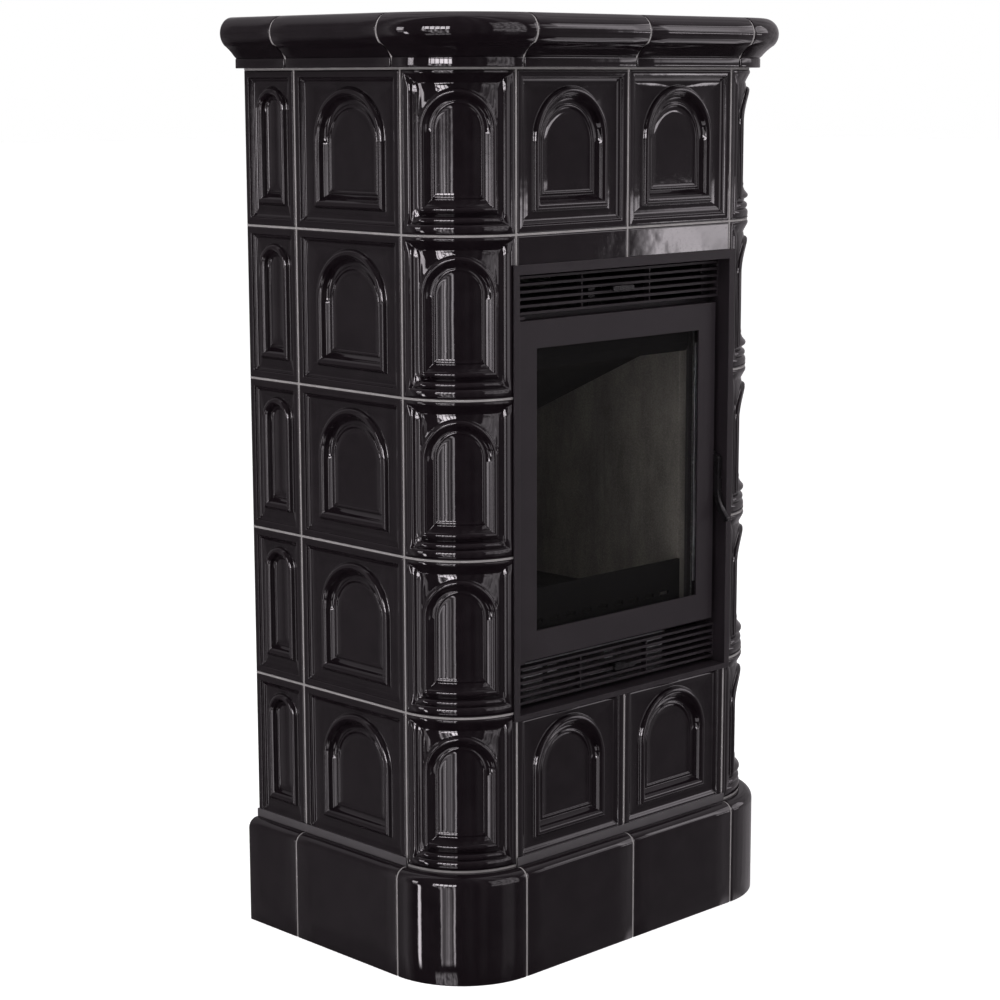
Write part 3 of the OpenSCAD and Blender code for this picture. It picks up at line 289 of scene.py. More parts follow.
def inset_outline(outline, depth):
    """A closed outline moved inwards by a small depth, corner by corner."""
    moved = []
    for i, here in enumerate(outline):
        before = Vector(outline[i - 1])
        after = Vector(outline[(i + 1) % len(outline)])
        here = Vector(here)
        into = (here - before).normalized()
        out_of = (after - here).normalized()
        side = Vector((-(into.y + out_of.y), into.x + out_of.x))
        inward = Vector((-into.y, into.x))
        if side.length < 1e-6:
            side = inward.copy()
        side.normalize()
        reach = depth / max(SHARPEST_CORNER, side.dot(inward))
        moved.append(tuple(here + side * reach))
    return moved


# How the ends of a moulded piece are eased: distance from the end and inset of the outline
END_ROUNDING = [(0.0, 0.9), (0.2, 0.45), (0.6, 0.12), (1.2, 0.0)]


def swept(outline, place, start, end, steps):
    """A solid along a path: closed rows of points, with eased ends, closed by flat caps."""
    length = end - start
    rows = []
    for along, inset in END_ROUNDING:
        rows.append([place(start + along, *p) for p in inset_outline(outline, inset)])
    for i in range(1, steps):
        rows.append([place(start + length * i / steps, *p) for p in outline])
    for along, inset in reversed(END_ROUNDING):
        rows.append([place(end - along, *p) for p in inset_outline(outline, inset)])
    points, faces = stitch(rows)
    count = len(outline)
    faces.append(tuple(range(count)))
    faces.append(tuple(len(points) - count + i for i in range(count)))
    return points, faces


def along_side(base_z):
    """Place on the left side: along is the distance back from the front face."""
    return lambda along, out, up: (-BODY_HALF - out, FRONT_Y + along, base_z + up)


def along_front(base_z):
    return lambda along, out, up: (along, FRONT_Y - out, base_z + up)


def round_corner(base_z):
    """Place round the left corner: along is the arc length on the face of the tiles."""
    def place(along, out, up):
        turn = along / CORNER_R
        radius = CORNER_R + out
        return (-BODY_HALF + CORNER_R - radius * math.cos(turn),
                FRONT_Y + CORNER_R - radius * math.sin(turn), base_z + up)
    return place


def joined(*parts):
    """One list of points and faces from several."""
    points = []
    faces = []
    for part_points, part_faces in parts:
        start = len(points)
        points += part_points
        faces += [tuple(start + i for i in face) for face in part_faces]
    return points, faces


def moulding_run(outline, base_z, prefix):
    """The pieces of a plinth or cornice: two corners, the front, and both sides."""
    corner = swept(outline, round_corner(base_z), 0, CORNER_R * math.pi / 2, BEND_STEPS)
    first = CORNER_R + JOINT
    side = joined(
        swept(outline, along_side(base_z), first, first + TILE, STRAIGHT_STEPS),
        swept(outline, along_side(base_z), first + TILE + JOINT, BODY_D, SHORT_STEPS))
    half = swept(outline, along_front(base_z), -JOINT / 2 - TILE, -JOINT / 2, STRAIGHT_STEPS)
    other = (mirrored(half[0]), half[1])
    for part, name in ((corner, "corner"), (side, "")):
        for hand, points in (("left", part[0]), ("right", mirrored(part[0]))):
            label = "_".join(w for w in (prefix, hand, name) if w)
            solid_from("glazed_" + label, points, part[1], replaced=[label], **GLAZED)
    solid_from("glazed_" + prefix + "_front", *joined(half, other), replaced=[prefix + "_front"],
               **GLAZED)


plinth_outline = (
    [(PLINTH_OUT - PLINTH_WALL, 0)]
    + arc((PLINTH_OUT - PLINTH_FOOT_ROUND, PLINTH_FOOT_ROUND), PLINTH_FOOT_ROUND, -90, 0, 3)
    + [(PLINTH_OUT, up) for up in (40, 95, PLINTH_H - PLINTH_ROUND - 3)]
    + arc((PLINTH_OUT - PLINTH_ROUND, PLINTH_H - PLINTH_ROUND), PLINTH_ROUND, 0, 90, 14)
    + [(PLINTH_OUT - PLINTH_ROUND - 3, PLINTH_H), (-PLINTH_BACK, PLINTH_H),
       (-PLINTH_BACK, PLINTH_H - PLINTH_WALL), (PLINTH_OUT - PLINTH_WALL, PLINTH_H - PLINTH_WALL)])
moulding_run(plinth_outline, 0, "plinth")


# Ledge: a narrow steel angle laid on the plinth under the lowest course, which it carries. It is
# bent from sheet and has a grey satin paint.
ledge_paint = grained("satin_grey_paint", (0.072, 0.065, 0.070), (0.086, 0.078, 0.084),
                      rough=(0.34, 0.44), tooth_mm=0.03, fine=2600, coarse=22, shine=0.3)
dress(ledge_paint, "ledge_trim")
ease_edges(0.6, "ledge_trim")


# Tiles of the flat sides: pressed in a mould, with a stepped rim, a sunk field, and a round
# moulding that frames an arched niche. Each tile has a collar behind that holds it in the wall.
PITCH = TILE + JOINT
COURSES = 5
ARCH_STEPS = 40
ARCH_SHOULDERS = (10, 30)
SHOULDER_EASE = 0.005

# Points of every outline, by part and by share of that part. Where the arch meets the corners of
# the rectangle round it, two more points keep the corner crisp.
OUTLINE = (
    [("sill", t) for t in (0, .008, .03, .06, .1, .17, .25, .33, .42, .5,
                           .58, .67, .75, .83, .9, .94, .97, .992)]
    + [("right", t) for t in (0, .012, .05, .12, .24, .37, .5, .63, .76, .87, .94, .96, .98)]
    + [("arch", i / ARCH_STEPS + d) for i in range(ARCH_STEPS)
       for d in ((-SHOULDER_EASE, 0, SHOULDER_EASE) if i in ARCH_SHOULDERS else (0,))]
    + [("left", t) for t in (0, .02, .04, .06, .13, .24, .37, .5, .63, .76, .88, .95, .988)])


def arch_loop(half, sill, centre):
    """An arched opening as a closed line of points across and up, from its left foot."""
    loop = []
    for part, t in OUTLINE:
        if part == "sill":
            loop.append((-half + 2 * half * t, sill))
        elif part == "right":
            loop.append((half, sill + (centre - sill) * t))
        elif part == "arch":
            loop.append((half * math.cos(math.pi * t), centre + half * math.sin(math.pi * t)))
        else:
            loop.append((-half, centre + (sill - centre) * t))
    return loop


def rim_loop(half, foot, head, centre):
    """A rectangle whose points match those of an arched opening, one for one."""
    loop = []
    for part, t in OUTLINE:
        if part == "sill":
            loop.append((-half + 2 * half * t, foot))
        elif part == "right":
            loop.append((half, foot + (centre - foot) * t))
        elif part == "left":
            loop.append((-half, centre + (foot - centre) * t))
        elif t <= 0.25:
            loop.append((half, centre + (head - centre) * t / 0.25))
        elif t < 0.75:
            loop.append((half - 2 * half * (t - 0.25) / 0.5, head))
        else:
            loop.append((-half, head - (head - centre) * (t - 0.75) / 0.25))
    return loop


def smooth(t):
    t = min(1.0, max(0.0, t))
    return t * t * (3 - 2 * t)


def arch_share(band):
    """For each point of the outline, 1 on the arch and 0 on the sill and the jambs."""
    near = {"sill": lambda t: 0.0, "arch": lambda t: 1.0,
            "right": lambda t: smooth((t - 1 + band) / band), "left": lambda t: smooth((band - t) / band)}
    return [near[part](t) for part, t in OUTLINE]


ARCH_SHARE = arch_share(0.04)
RIM_BACK = 26
COLLAR_BACK = 45
COLLAR_OUTER = 8
COLLAR_INNER = 18
COLLAR = [(COLLAR_INNER, RIM_BACK), (COLLAR_INNER, COLLAR_BACK), (COLLAR_OUTER, COLLAR_BACK),
          (COLLAR_OUTER, RIM_BACK), (0, RIM_BACK)]

# Front edge and rim of a flat tile, row by row: distance in from the edge, and depth
ARRIS = [(0, 3.0), (0.1, 2.0), (0.5, 1.0), (1.2, 0.3), (2.2, 0.0), (2.8, 0.0)]
FLAT_RIM = [(9.0, 0.0), (9.6, 0.1), (10.2, 0.5), (10.7, 1.3), (11.0, 2.2), (11.3, 2.7), (11.9, 2.95),
            (12.6, 3.2), (13.6, 3.85), (14.8, 4.65), (16.2, 5.4), (17.2, 5.75), (18.4, 5.95), (19.4, 6.0)]
FIELD_DEEP = 7.2

# Foot of the round moulding: distance past it and rise, and then the turns of its rows in degrees
BEAD_FOOT = [(1.6, 0.0), (0.9, 0.1), (0.4, 0.6)]
BEAD_TURNS = (8, 20, 34, 48, 62, 76, 90, 104, 118, 132, 142)


def bead_rows(half, sill, centre, radius, deep, crest, wrap=lambda loop: loop):
    """Rows of the round moulding, from its outer foot in the field to the mouth of the niche."""
    steps = [(radius + past, deep - rise) for past, rise in BEAD_FOOT]
    for degrees in BEAD_TURNS:
        turn = math.radians(degrees)
        rise = (deep - crest) * math.sin(turn)
        steps.append((radius * math.cos(turn), deep - rise))
    return [(wrap(arch_loop(half + out, sill - out, centre)), [depth] * len(OUTLINE))
            for out, depth in steps]


# Side of the niche, from its mouth (0) to the edge of the panel (1): the share of the way in, and
# the share of the depth, on a jamb and under the arch. A small roll borders the panel.
NICHE_SIDE = [
    (0.00, 0.00, 0.00), (0.03, 0.05, 0.02), (0.07, 0.14, 0.16), (0.12, 0.27, 0.36), (0.17, 0.40, 0.52),
    (0.21, 0.48, 0.63), (0.26, 0.56, 0.72), (0.32, 0.65, 0.80), (0.38, 0.73, 0.86), (0.45, 0.83, 0.91),
    (0.52, 0.92, 0.94), (0.56, 0.96, 0.96), (0.59, 0.97, 0.97), (0.62, 0.96, 0.96), (0.67, 0.90, 0.90),
    (0.72, 0.85, 0.85), (0.78, 0.83, 0.83), (0.84, 0.85, 0.85), (0.89, 0.90, 0.90), (0.94, 0.97, 0.97),
    (1.00, 1.00, 1.00)]


def niche_rows(outer, inner, mouth, floor, wrap=lambda loop: loop):
    """Rows of the niche's side between two arched openings: each is half width, sill and centre."""
    rows = []
    for t, jamb, arch in NICHE_SIDE:
        half, sill, centre = (a + (b - a) * t for a, b in zip(outer, inner))
        depths = [mouth + (floor - mouth) * (jamb + (arch - jamb) * share) for share in ARCH_SHARE]
        rows.append((wrap(arch_loop(half, sill, centre)), depths))
    return rows


# Share of the way to the centre that the sill of a panel is drawn in, as its rows close up
SILL_DRAWN_IN = 0.3


def panel_rows(half, sill, centre, depth_at, steps, wrap=lambda loop: loop):
    """Rows that fill an arched panel, drawn in to its middle line."""
    rows = []
    for k in range(1, steps + 1):
        t = k / steps
        loop = arch_loop(half * (1 - t), sill + (centre - sill) * SILL_DRAWN_IN * t, centre)
        rows.append((wrap(loop), [depth_at(across) for across, up in loop]))
    return rows


def flat_tile(width, crest_half, panel_half, panel_sill, panel_drop, floor, trough):
    """Rows of a flat tile from the inside of its collar to the middle of its panel."""
    crest_down = 29
    sill_up = 35
    bead_r = 6
    crest = 0.5
    mouth_in = 5.2
    mouth = 3.4
    panel_steps = 6
    centre = TILE - crest_down - crest_half
    panel_centre = TILE - panel_drop - panel_half
    rows = []
    for inset, depth in COLLAR + ARRIS + FLAT_RIM:
        loop = rim_loop(width / 2 - inset, inset, TILE - inset, centre)
        rows.append((loop, [depth] * len(loop)))
    rows += bead_rows(crest_half, sill_up, centre, bead_r, FIELD_DEEP, crest)
    rows += niche_rows((crest_half - mouth_in, sill_up + mouth_in, centre),
                       (panel_half, panel_sill, panel_centre), mouth, floor)
    rows += panel_rows(panel_half, panel_sill, panel_centre,
                       lambda across: floor + trough * (1 - (across / panel_half) ** 2), panel_steps)
    return rows


def placed(rows, place):
    """Points and faces of a tile's rows once they are set in the wall, with a closed back."""
    laid = [[place(across, up, depth) for (across, up), depth in zip(loop, depths)]
            for loop, depths in rows]
    points, faces = stitch(laid)
    faces.append(tuple(range(len(OUTLINE))))
    return points, faces


def on_side(back, foot):
    return lambda across, up, depth: (-BODY_HALF + depth, FRONT_Y + back + across, foot + up)


def on_front(middle, foot):
    return lambda across, up, depth: (middle + across, FRONT_Y + depth, foot + up)


def course_z(k):
    return PLINTH_H + JOINT + k * PITCH


full_rows = flat_tile(TILE, crest_half=67.5, panel_half=46, panel_sill=54.5, panel_drop=54,
                      floor=13.0, trough=0.0)
slim_rows = flat_tile(TILE / 2, crest_half=26, panel_half=14.5, panel_sill=50, panel_drop=40,
                      floor=10.0, trough=1.6)
for rows, back, kind in (
        (full_rows, CORNER_R + JOINT + TILE / 2, "side"),
        (slim_rows, CORNER_R + TILE + TILE / 4 + 2 * JOINT, "half")):
    points, faces = joined(*[placed(rows, on_side(back, course_z(k))) for k in range(COURSES)])
    for hand, laid in (("left", points), ("right", mirrored(points))):
        node = hand + "_" + kind + "_tiles"
        solid_from("glazed_" + node, laid, faces, replaced=[node], **GLAZED)


# Front tiles: the same full tile, two above the insert and two below it. The lower two are
# sawn off level at the top, where the steel frame laps over them.
points, faces = placed(full_rows, on_front(-PITCH / 2, course_z(COURSES - 1)))
solid_from("glazed_top_tile_left", points, faces, replaced=["top_tile_left"], **GLAZED)
solid_from("glazed_top_tile_right", mirrored(points), faces, replaced=["top_tile_right"], **GLAZED)

points, faces = placed(full_rows, on_front(-PITCH / 2, course_z(0)))
for hand, laid in (("left", points), ("right", mirrored(points))):
    node = "bottom_tile_" + hand
    tile = solid_from("glazed_" + node, laid, faces, replaced=[node], **GLAZED)
    sawn = bmesh.new()
    sawn.from_mesh(tile.data)
    saw_cut = bmesh.ops.bisect_plane(
        sawn, geom=sawn.verts[:] + sawn.edges[:] + sawn.faces[:],
        plane_co=(0, 0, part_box(node)[1].z), plane_no=(0, 0, 1), clear_outer=True)
    rim = [e for e in saw_cut["geom_cut"] if isinstance(e, bmesh.types.BMEdge)]
    bmesh.ops.edgeloop_fill(sawn, edges=rim)
    bmesh.ops.recalc_face_normals(sawn, faces=sawn.faces)
    sawn.to_mesh(tile.data)
    sawn.free()
    tile.data.set_sharp_from_angle(angle=math.radians(SHARP_FROM))


# Corner tiles: a quarter of a cylinder in one piece, with the arch wrapped round it. Reeds run
# up both rims, and two round rolls lie across the foot like the base of a column.
CORNER_EDGE = CORNER_R * math.pi / 4
CORNER_SILL = 34
SILL_BAND = 0.07
JAMB_BAND = 0.06
TOP_FROM = 0.22
TOP_BAND = 0.03


def wrapped(loop):
    """A drawing seen from straight ahead, laid round the corner as arc lengths."""
    return [(CORNER_R * math.asin(max(-1.0, min(1.0, across / CORNER_R))), up) for across, up in loop]


# Side rim, top rim and foot of a corner tile, row by row: distance in from the edge, and depth
REEDED_RIM = [
    (4.5, 0.0, 2.6, 0.1, 1.2, 1.5), (5.2, 0.7, 3.6, 0.0, 2.6, 0.9), (6.0, 0.8, 4.6, 0.2, 4.6, 0.5),
    (6.8, 0.3, 5.6, 0.6, 7.0, 0.3), (8.5, 0.1, 6.6, 1.1, 9.0, 0.2), (10.5, 0.1, 7.7, 1.7, 11.0, 0.5),
    (12.5, 0.2, 8.8, 2.3, 12.8, 1.5), (14.5, 0.4, 9.9, 2.9, 13.8, 2.8), (16.2, 0.8, 11.0, 3.5, 14.6, 3.8),
    (17.4, 1.5, 12.1, 4.1, 15.4, 2.9), (18.2, 2.6, 13.2, 4.7, 16.8, 1.8), (19.0, 3.6, 14.3, 5.3, 18.4, 1.3),
    (20.0, 4.0, 15.4, 5.8, 20.2, 1.2), (21.5, 4.4, 16.3, 6.2, 21.8, 1.7), (23.5, 5.2, 17.0, 6.5, 23.2, 3.0),
    (26.0, 5.9, 17.6, 6.7, 24.6, 5.0), (28.0, 6.3, 18.2, 6.8, 25.6, 6.6)]


def corner_rim_row(side, side_deep, top, top_deep, foot, foot_deep, centre):
    """One closed row of the rim, whose depth turns from the side's to the foot's at the corner."""
    loop = rim_loop(CORNER_EDGE - side, foot, TILE - top, centre)
    depths = []
    for part, t in OUTLINE:
        if part == "sill":
            share = 0.5 + 0.5 * smooth(min(t, 1 - t) / SILL_BAND)
            depths.append(side_deep + (foot_deep - side_deep) * share)
        elif part in ("right", "left"):
            near = t if part == "right" else 1 - t
            share = 0.5 * (1 - smooth(near / JAMB_BAND))
            depths.append(side_deep + (foot_deep - side_deep) * share)
        else:
            near_top = smooth((min(t, 1 - t) - TOP_FROM) / TOP_BAND)
            depths.append(side_deep + (top_deep - side_deep) * near_top)
    return loop, depths


def corner_rows():
    """Rows of a corner tile from the inside of its collar to the middle of its panel."""
    crest_half = 50.5
    bead_r = 4.6
    centre = 140.5
    crest = 0.4
    rim_deep = 6.5
    field_deep = 5.6
    field_steps = 5
    mouth_in = 4.2
    mouth = 3.0
    panel_half = 32.7
    panel_sill = 54
    panel_drop = 46
    panel_centre = TILE - panel_drop - panel_half
    panel_deep = 8.0
    panel_steps = 9
    rows = []
    for inset, depth in COLLAR + ARRIS[:-1]:
        loop = rim_loop(CORNER_EDGE - inset, inset, TILE - inset, centre)
        rows.append((loop, [depth] * len(loop)))
    for numbers in REEDED_RIM:
        rows.append(corner_rim_row(*numbers, centre))
    beads = bead_rows(crest_half, CORNER_SILL, centre, bead_r, field_deep, crest, wrapped)
    field = rows[-1][0]
    foot = beads[0][0]
    for k in range(1, field_steps):
        t = k / field_steps
        between = [(a + (c - a) * t, b + (d - b) * t) for (a, b), (c, d) in zip(field, foot)]
        rows.append((between, [rim_deep + (field_deep - rim_deep) * t] * len(between)))
    rows += beads
    rows += niche_rows((crest_half - mouth_in, CORNER_SILL + mouth_in, centre),
                       (panel_half, panel_sill, panel_centre), mouth, panel_deep, wrapped)
    rows += panel_rows(panel_half, panel_sill, panel_centre, lambda across: panel_deep, panel_steps,
                       wrapped)
    return rows


def on_corner(foot):
    """Place round the left corner, from the middle of the tile, which faces out between the sides."""
    def place(across, up, depth):
        turn = math.radians(225) + across / CORNER_R
        radius = CORNER_R - depth
        return (-BODY_HALF + CORNER_R + radius * math.cos(turn),
                FRONT_Y + CORNER_R + radius * math.sin(turn), foot + up)
    return place


rows = corner_rows()
points, faces = joined(*[placed(rows, on_corner(course_z(k))) for k in range(COURSES)])
for hand, laid in (("left", points), ("right", mirrored(points))):
    node = hand + "_corner_tiles"
    solid_from("glazed_" + node, laid, faces, replaced=[node], **GLAZED)


# Lintel tiles: two short plain tiles over the insert, of the same black glazed clay, cut from flat
# ones, with eased front edges. They are bedded in the mortar of the course above.
LINTEL_Z0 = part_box("lintel_tiles")[0].z / MM
LINTEL_Z1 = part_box("lintel_tiles")[1].z / MM


def lintel(middle):
    height = LINTEL_Z1 - LINTEL_Z0
    rows = []
    for inset, depth in [(0, RIM_BACK)] + ARRIS:
        loop = rim_loop(TILE / 2 - inset, inset, height - inset, height / 2)
        rows.append((loop, [depth] * len(loop)))
    points, faces = placed(rows, on_front(middle, LINTEL_Z0))
    last = len(points) - len(OUTLINE)
    faces.append(tuple(last + i for i in range(len(OUTLINE))))
    return points, faces


solid_from("glazed_lintel_tiles", *joined(lintel(-PITCH / 2), lintel(PITCH / 2)),
           replaced=["lintel_tiles"], **GLAZED)


# Cornice: moulded pieces with a fillet, a hollow slope and a full round nose, glazed all over.
# The cover slab lies in a rebate behind the nose and wears the same glaze.
CORNICE_H = 72
CORNICE_Z = course_z(COURSES)
NOSE_R = 23
NOSE = (19, CORNICE_H - NOSE_R)
FILLET_OUT = 15
FILLET_H = 14
FILLET_FOOT_ROUND = 1.2
FILLET_TOP_ROUND = 2.0
COVE_DEEP = 1.2
REBATE_IN = 12
SHELF_IN = 30
REBATE_Z = 45

reach = math.hypot(NOSE[0] - FILLET_OUT, NOSE[1] - FILLET_H)
slope_length = math.sqrt(reach ** 2 - NOSE_R ** 2)
slope = math.atan2(NOSE[1] - FILLET_H, NOSE[0] - FILLET_OUT) - math.asin(NOSE_R / reach)
slope_end = (FILLET_OUT + slope_length * math.cos(slope), FILLET_H + slope_length * math.sin(slope))


def cove_points(steps):
    """The hollow slope, from the top of the fillet to the underside of the nose."""
    across = (-math.sin(slope), math.cos(slope))
    points = []
    for i in range(1, steps):
        t = i / steps
        dip = COVE_DEEP * 4 * t * (1 - t)
        points.append((FILLET_OUT + (slope_end[0] - FILLET_OUT) * t + across[0] * dip,
                       FILLET_H + (slope_end[1] - FILLET_H) * t + across[1] * dip))
    return points


nose_start = math.degrees(slope) - 90
cornice_outline = (
    [(-SHELF_IN, 0)]
    + arc((FILLET_OUT - FILLET_FOOT_ROUND, FILLET_FOOT_ROUND), FILLET_FOOT_ROUND, -90, 0, 3)
    + [(FILLET_OUT, 4)]
    + arc((FILLET_OUT - FILLET_TOP_ROUND, FILLET_H - FILLET_TOP_ROUND), FILLET_TOP_ROUND, 0, 70, 4)
    + cove_points(7)
    + arc(NOSE, NOSE_R, nose_start, 90, 30)
    + [(NOSE[0] - 3, CORNICE_H), (-REBATE_IN, CORNICE_H), (-REBATE_IN, REBATE_Z), (-SHELF_IN, REBATE_Z)])
moulding_run(cornice_outline, CORNICE_Z, "cornice")
dress(black_glaze, "cover_slab")
ease_edges(1.5, "cover_slab")


# Mortar: grey joint filler in every seam between the tiles, a fine cement paste. It is pressed in
# and struck a little behind their faces.
joint_filler = grained("joint_filler", (0.27, 0.25, 0.255), (0.36, 0.335, 0.34), rough=(0.8, 0.95),
                       tooth_mm=0.25, fine=1100, coarse=45)
dress(joint_filler, "grout")


# Steel of the insert: folded and laser-cut sheet under a satin black stove paint, baked on, with
# the fine even tooth that such paint has. The handle and the slider tabs have a smoother enamel.
stove_paint = grained("satin_stove_paint", (0.0150, 0.0116, 0.0141), (0.0190, 0.0150, 0.0179),
                      rough=(0.38, 0.48), tooth_mm=0.035, fine=2600, coarse=22, shine=0.22)
black_enamel = grained("black_enamel", (0.004, 0.0035, 0.004), (0.007, 0.006, 0.007),
                       rough=(0.22, 0.32), tooth_mm=0.02, fine=1500, coarse=40, shine=0.3)
dress(stove_paint, "insert_frame", "upper_grille", "lower_grille", "firebox_front",
      "door_frame", "hinge_brackets", "latch_hook")
dress(black_enamel, "door_handle", "upper_slider", "lower_slider")
ease_edges(0.6, "insert_frame", "upper_grille", "lower_grille", "upper_slider", "lower_slider",
           "door_frame", "firebox_front", "hinge_brackets", "latch_hook")
ease_edges(1.8, "door_handle")


# Lining of the fire: pressed boards at the sides, behind and below, and a sloping board above.
# They are brown-grey, and soot has run down them. The hearth and the board overhead are near black: soot,
# and painted shade of the fire chamber's floor and roof.
SOOT_RUN = 0.3
FLAKE_SCALE = 420.0
FLAKE_MM = 0.1


def fired_board(name, clean, soot_and_shade_tone, soot_scale):
    """A pressed board: flakes of two tones under a film of soot that runs downwards."""
    board, tree, shader = new_material(name)
    shader.inputs["Specular IOR Level"].default_value = 0.06
    shader.inputs["Roughness"].default_value = 0.95
    place = add_node(tree, "ShaderNodeTexCoord").outputs["Object"]
    runs = add_node(tree, "ShaderNodeMapping", {"Vector": place, "Scale": (1.0, 1.0, SOOT_RUN)})
    soot = spread(tree, noise_of(tree, runs.outputs[0], soot_scale, 6.0, 0.65), 0.34, 0.66)
    flakes = spread(tree, noise_of(tree, place, FLAKE_SCALE, 2.0, 0.6), 0.3, 0.7, 0.8, 1.2)
    film = mix_colour(tree, soot, (*soot_and_shade_tone, 1), (*clean, 1))
    toned = add_node(tree, "ShaderNodeVectorMath", {0: film, "Scale": flakes}, operation="SCALE")
    tree.links.new(toned.outputs[0], shader.inputs["Base Color"])
    bump = add_node(tree, "ShaderNodeBump",
                    {"Height": flakes, "Distance": FLAKE_MM * MM, "Strength": 1.0})
    tree.links.new(bump.outputs["Normal"], shader.inputs["Normal"])
    return board


wall_board = fired_board("lining_board", clean=(0.315, 0.288, 0.258), soot_and_shade_tone=(0.188, 0.173, 0.158),
                         soot_scale=22.0)
# Hearth and baffle: both tones are near black, for soot and for painted shade of the chamber's floor and
# roof.
shaded_soot_board = fired_board("soot_and_painted_shade_board", clean=(0.021, 0.019, 0.0175), soot_and_shade_tone=(0.012, 0.011, 0.0103),
                         soot_scale=14.0)
dress(wall_board, "left_lining", "right_lining", "rear_lining")
dress(shaded_soot_board, "hearth_bricks", "baffle")
ease_edges(0.3, "left_lining", "right_lining", "rear_lining", "hearth_bricks", "baffle")


# Grate, log guard and air deflector: grey iron cast in sand, so their faces keep a coarse grain.
# They are black with soot.
cast_iron = grained("cast_iron", (0.0045, 0.0042, 0.0043), (0.010, 0.0095, 0.0096),
                    rough=(0.6, 0.8), tooth_mm=0.2, fine=800, coarse=50, shine=0.04)
dress(cast_iron, "grate", "log_guard", "air_deflector")
ease_edges(1.0, "grate", "log_guard")
ease_edges(0.5, "air_deflector")


# Pane: clear glass ceramic, polished, with a film of smoke baked on inside, which dims the fire
# chamber. It is thin and flat, so it is drawn as a mirror coat that is mostly see-through.
pane, tree, shader = new_material("glass_ceramic", ior=1.52)
shader.inputs["Base Color"].default_value = (0.004, 0.0037, 0.0034, 1)
shader.inputs["Roughness"].default_value = 0.02
SMOKE_THIN = 0.12
SMOKE_THICK = 0.22
place = add_node(tree, "ShaderNodeTexCoord").outputs["Object"]
smoke = spread(tree, noise_of(tree, place, 5.0, 4.0, 0.6), 0.3, 0.7, SMOKE_THIN, SMOKE_THICK)
tree.links.new(smoke, shader.inputs["Alpha"])
dress(pane, "door_glass")


# Seals: braided glass-fibre rope in the door's groove and a flat woven strip under the pane. Both
# are grey, and their strands show as a fine even weave, with painted shade in the gaps between them.
STRAND = (0.2, 0.2, 0.2, 1)
# Painted shade: the darker colour of the gaps between strands, where the weave sinks in
GAP_PAINTED_SHADE = (0.07, 0.07, 0.07, 1)
WEAVE_SCALE = 380.0
WEAVE_MM = 0.8
rope, tree, shader = new_material("glass_fibre_seal")
place = add_node(tree, "ShaderNodeTexCoord").outputs["Object"]
strands = add_node(tree, "ShaderNodeTexVoronoi", {"Vector": place, "Scale": WEAVE_SCALE})
weave = strands.outputs["Distance"]
# The colour follows the same weave as the bump, so the sunk gaps take the painted shade.
tree.links.new(mix_colour(tree, spread(tree, weave, 0.0, 0.6), STRAND, GAP_PAINTED_SHADE),
               shader.inputs["Base Color"])
shader.inputs["Roughness"].default_value = 0.9
bump = add_node(tree, "ShaderNodeBump",
                {"Height": weave, "Distance": -WEAVE_MM * MM, "Strength": 1.0})
tree.links.new(bump.outputs["Normal"], shader.inputs["Normal"])
dress(rope, "glass_gasket", "door_gasket")


# Studio: a pale floor in a white surround, which only mirrors see as a dim room with a few lights.
# Three soft lamps light the stove, and metres are used from here on.
FLOOR_HALF = 40.0
FLOOR_WHITE = 0.6


def seen_ray(tree):
    """1 for a ray that sees a surface directly or through glass, and 0 for one that lights it."""
    rays = add_node(tree, "ShaderNodeLightPath").outputs
    return math_value(tree, "MAXIMUM", rays["Is Camera Ray"], rays["Is Transmission Ray"])


floor_mesh = bpy.data.meshes.new("floor")
floor_mesh.from_pydata(
    [(x * FLOOR_HALF, y * FLOOR_HALF, 0) for x, y in ((-1, -1), (1, -1), (1, 1), (-1, 1))],
    [], [(0, 1, 2, 3)])
floor = bpy.data.objects.new("floor", floor_mesh)
bpy.context.scene.collection.objects.link(floor)
floor_paper, tree, shader = new_material("floor_paper")
shader.inputs["Base Color"].default_value = (0.9, 0.9, 0.9, 1)
shader.inputs["Roughness"].default_value = 0.9
shader.inputs["Specular IOR Level"].default_value = 0.1
shader.inputs["Emission Color"].default_value = (1, 1, 1, 1)
tree.links.new(math_value(tree, "MULTIPLY", seen_ray(tree), FLOOR_WHITE),
               shader.inputs["Emission Strength"])
floor_mesh.materials.append(floor_paper)
floor.visible_glossy = False


def mix_value(tree, share, first, second):
    mixed = add_node(tree, "ShaderNodeMix", {0: share, 2: first, 3: second}, data_type="FLOAT")
    return mixed.outputs[0]


# What the glaze mirrors is drawn on the world, by compass angle and height in degrees: a dim room
# whose strength changes with the angle, and glowing patches in it. Only mirrored rays meet this
# room. The other rays that light the stove meet one even level.
ROOM_LEVEL = 0.5
ROOM_TINT = (1.0, 0.93, 0.98, 1)
ROOM = [(0, 0.45), (14, 0.35), (79, 0.35), (108, 0.4), (124, 0.22), (131, 0.22), (139, 0.37), (147, 0.65),
        (153, 0.30), (160, 0.06), (186, 0.08), (222, 0.05), (236, 0.10), (243, 0.05), (252, 0.16),
        (260, 0.08), (274, 0.12), (281, 0.40), (291, 0.34), (298, 0.10), (308, 0.14), (316, 0.22),
        (326, 0.35), (342, 0.4), (360, 0.45)]
world = bpy.data.worlds.new("studio")
bpy.context.scene.world = world
world.use_nodes = True
tree = world.node_tree
background = tree.nodes["Background"]
seen = seen_ray(tree)
mirrored_ray = add_node(tree, "ShaderNodeLightPath").outputs["Is Glossy Ray"]
toward = add_node(tree, "ShaderNodeTexCoord").outputs["Generated"]
along = add_node(tree, "ShaderNodeSeparateXYZ", {0: toward})
turn = math_value(tree, "ARCTAN2", along.outputs["Y"], along.outputs["X"])
turn = math_value(tree, "FRACT", math_value(tree, "MULTIPLY_ADD", turn, 0.5 / math.pi, 1.0))
